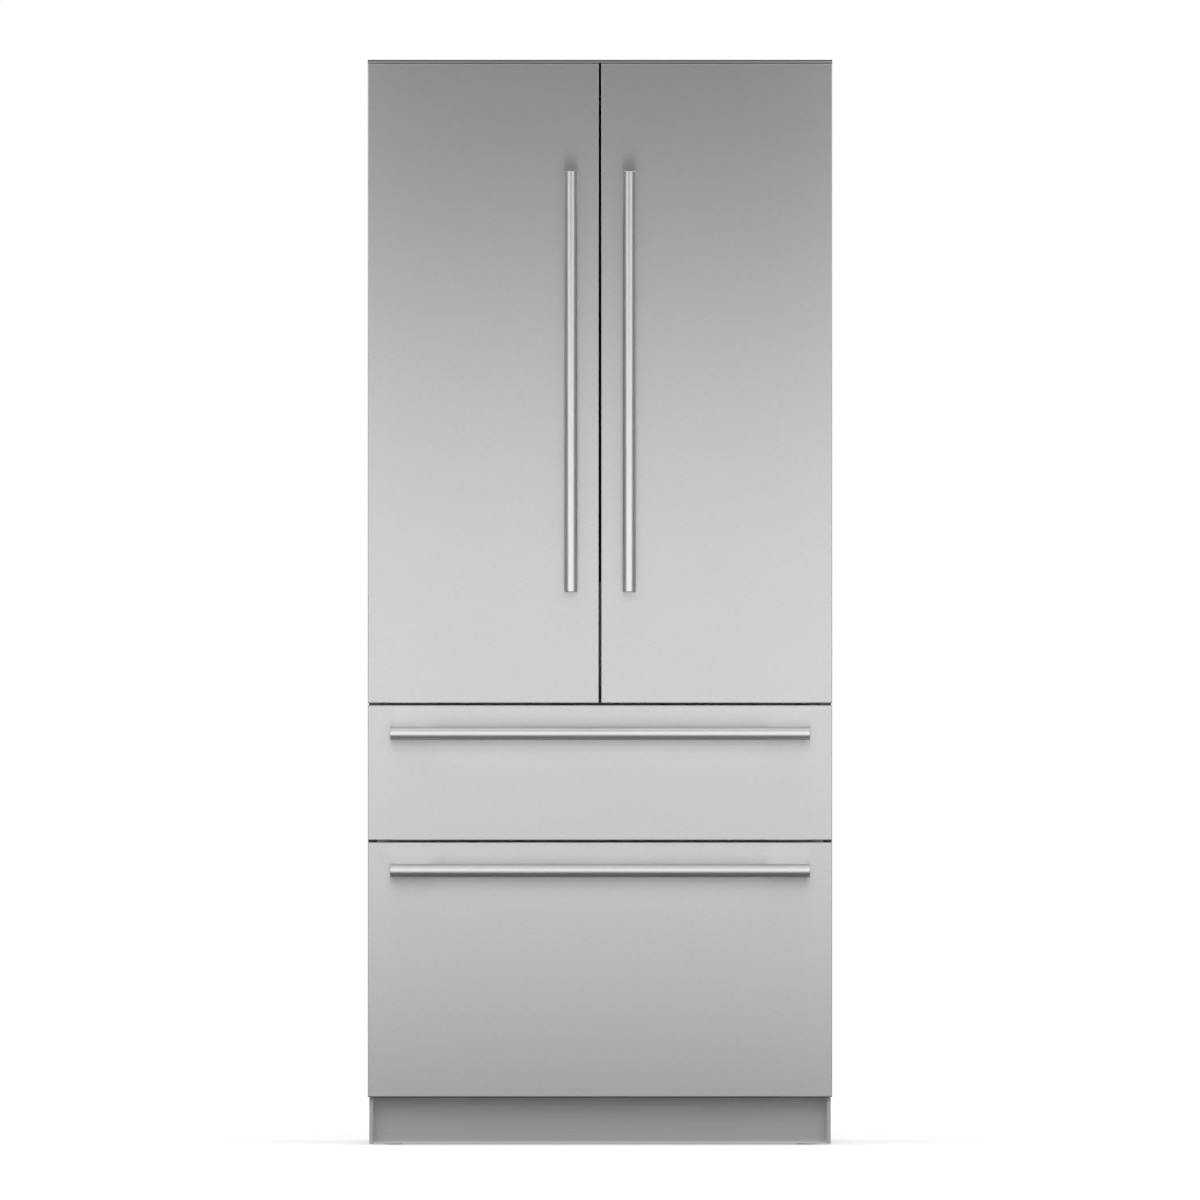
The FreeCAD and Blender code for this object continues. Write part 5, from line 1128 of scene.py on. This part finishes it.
def make_room():
    """White near the horizon, dimmer overhead."""
    world = bpy.data.worlds.new("white_room")
    bpy.context.scene.world = world
    world.use_nodes = True
    tree = world.node_tree
    coordinates = tree.nodes.new("ShaderNodeTexCoord")
    parts = tree.nodes.new("ShaderNodeSeparateXYZ")
    ramp = tree.nodes.new("ShaderNodeValToRGB")
    for stop, place, level in zip(ramp.color_ramp.elements, (HORIZON, ZENITH), (1.0, ZENITH_GREY)):
        stop.position = place
        stop.color = (*grey(level), 1.0)
    tree.links.new(coordinates.outputs["Generated"], parts.inputs["Vector"])
    tree.links.new(parts.outputs["Z"], ramp.inputs["Fac"])
    tree.links.new(ramp.outputs["Color"], tree.nodes["Background"].inputs["Color"])


make_floor()
make_room()
bpy.context.scene.view_settings.view_transform = "Standard"
print("floor in metres:", FLOOR_SIZE)

# %% [markdown]
# ## Studio panels
# Brushed steel shows nothing but the room, so the light is built for it, out of flat panels. A panel is a
# plane that glows, with a strength that may follow its height by a curve. The camera doesn't see it. A panel
# that doesn't light the object is a card, seen by reflections alone.


# %% Panel kit
def panel_glow(name, levels):
    """An emission whose strength follows the height: pairs of height in metres and strength."""
    material = bpy.data.materials.new(name)
    material.use_nodes = True
    tree = material.node_tree
    tree.nodes.remove(tree.nodes["Principled BSDF"])
    glow = tree.nodes.new("ShaderNodeEmission")
    tree.links.new(glow.outputs["Emission"], tree.nodes["Material Output"].inputs["Surface"])
    top = levels[-1][0]
    peak = max(strength for _, strength in levels)
    curve = tree.nodes.new("ShaderNodeFloatCurve")
    points = curve.mapping.curves[0].points
    points[0].location = (0.0, levels[0][1] / peak)
    points[1].location = (1.0, levels[-1][1] / peak)
    for height, strength in levels[1:-1]:
        points.new(height / top, strength / peak)
    curve.mapping.update()
    coordinates = tree.nodes.new("ShaderNodeTexCoord")
    parts = tree.nodes.new("ShaderNodeSeparateXYZ")
    tree.links.new(coordinates.outputs["Object"], parts.inputs["Vector"])
    tree.links.new(reckon(tree, "DIVIDE", parts.outputs["Z"], top), curve.inputs["Value"])
    tree.links.new(reckon(tree, "MULTIPLY", curve.outputs["Value"], peak), glow.inputs["Strength"])
    return material


def make_panel(name, turn, centre, size, levels, lights):
    """A flat stage panel. One that doesn't light the object is seen by reflections alone."""
    bpy.ops.object.select_all(action="DESELECT")
    bpy.ops.mesh.primitive_plane_add(size=1.0, location=centre, rotation=turn)
    panel = bpy.context.object
    panel.name = name
    panel.scale = (*size, 1.0)
    bpy.ops.object.transform_apply(location=True, rotation=True, scale=True)
    panel.data.materials.append(panel_glow(name + "_glow", levels))
    panel.visible_camera = False
    panel.visible_shadow = False
    panel.visible_diffuse = lights
    panel.visible_transmission = lights
    print(name, "of", [round(length, 2) for length in size], "m")


# %% [markdown]
# ## Light panels and dark cards
# A tall panel in front is brightest at mid height, and the brushing smears its reflection up and down: that
# gives the doors their slow shade from the middle to both ends. Two even wings beside it and a panel overhead
# draw the bands on the bar handles. Dark cards at both sides and on the floor keep the rims of the bars dark,
# as photographers do with black card.

# %% Light panels and dark cards
LEVEL = (0.0, 0.0, 0.0)
SIDEWAYS = (0.0, math.radians(90.0), 0.0)
WALL_DISTANCE = 1.4
WALL_HEIGHT = 3.0
CENTRE_WIDTH = 1.30
WING_WIDTH = 0.78
# Pairs of height in metres and strength
CENTRE_LEVELS = (
    (0.0, 0.73), (0.3, 0.87), (0.6, 1.10), (0.95, 1.31), (1.3, 1.13),
    (1.7, 0.57), (2.1, 0.12), (2.6, 0.02), (WALL_HEIGHT, 0.03),
)
WING_LEVEL = 1.5
OVERHEAD_LEVEL = 1.2
OVERHEAD_DEPTH = 0.8
CARD_LEVEL = 0.08
CARD_LIFT = 0.004
CARD_UNDER = 0.07
wall_y = door_face - WALL_DISTANCE
wing_x = CENTRE_WIDTH / 2 + WING_WIDTH / 2
edge_x = CENTRE_WIDTH / 2 + WING_WIDTH
middle_y = (wall_y + door_face) / 2
middle_z = WALL_HEIGHT / 2


def even(strength):
    """The same strength at every height."""
    return ((0.0, strength), (WALL_HEIGHT, strength))


centre_place = (0.0, wall_y, middle_z)
make_panel("centre_panel", UPRIGHT, centre_place, (CENTRE_WIDTH, WALL_HEIGHT), CENTRE_LEVELS, lights=True)
overhead_place = (0.0, wall_y + OVERHEAD_DEPTH / 2, WALL_HEIGHT)
overhead_size = (2 * edge_x, OVERHEAD_DEPTH)
make_panel("overhead_panel", LEVEL, overhead_place, overhead_size, even(OVERHEAD_LEVEL), lights=True)
card_length = WALL_DISTANCE + CARD_UNDER
card_place = (0.0, wall_y + card_length / 2, CARD_LIFT)
make_panel("floor_card", LEVEL, card_place, (2 * edge_x, card_length), even(CARD_LEVEL), lights=False)
for side, word in SIDES:
    wing_place = (side * wing_x, wall_y, middle_z)
    make_panel(word + "_wing", UPRIGHT, wing_place, (WING_WIDTH, WALL_HEIGHT), even(WING_LEVEL), lights=True)
    side_place = (side * edge_x, middle_y, middle_z)
    side_size = (WALL_HEIGHT, WALL_DISTANCE)
    make_panel(word + "_card", SIDEWAYS, side_place, side_size, even(CARD_LEVEL), lights=False)
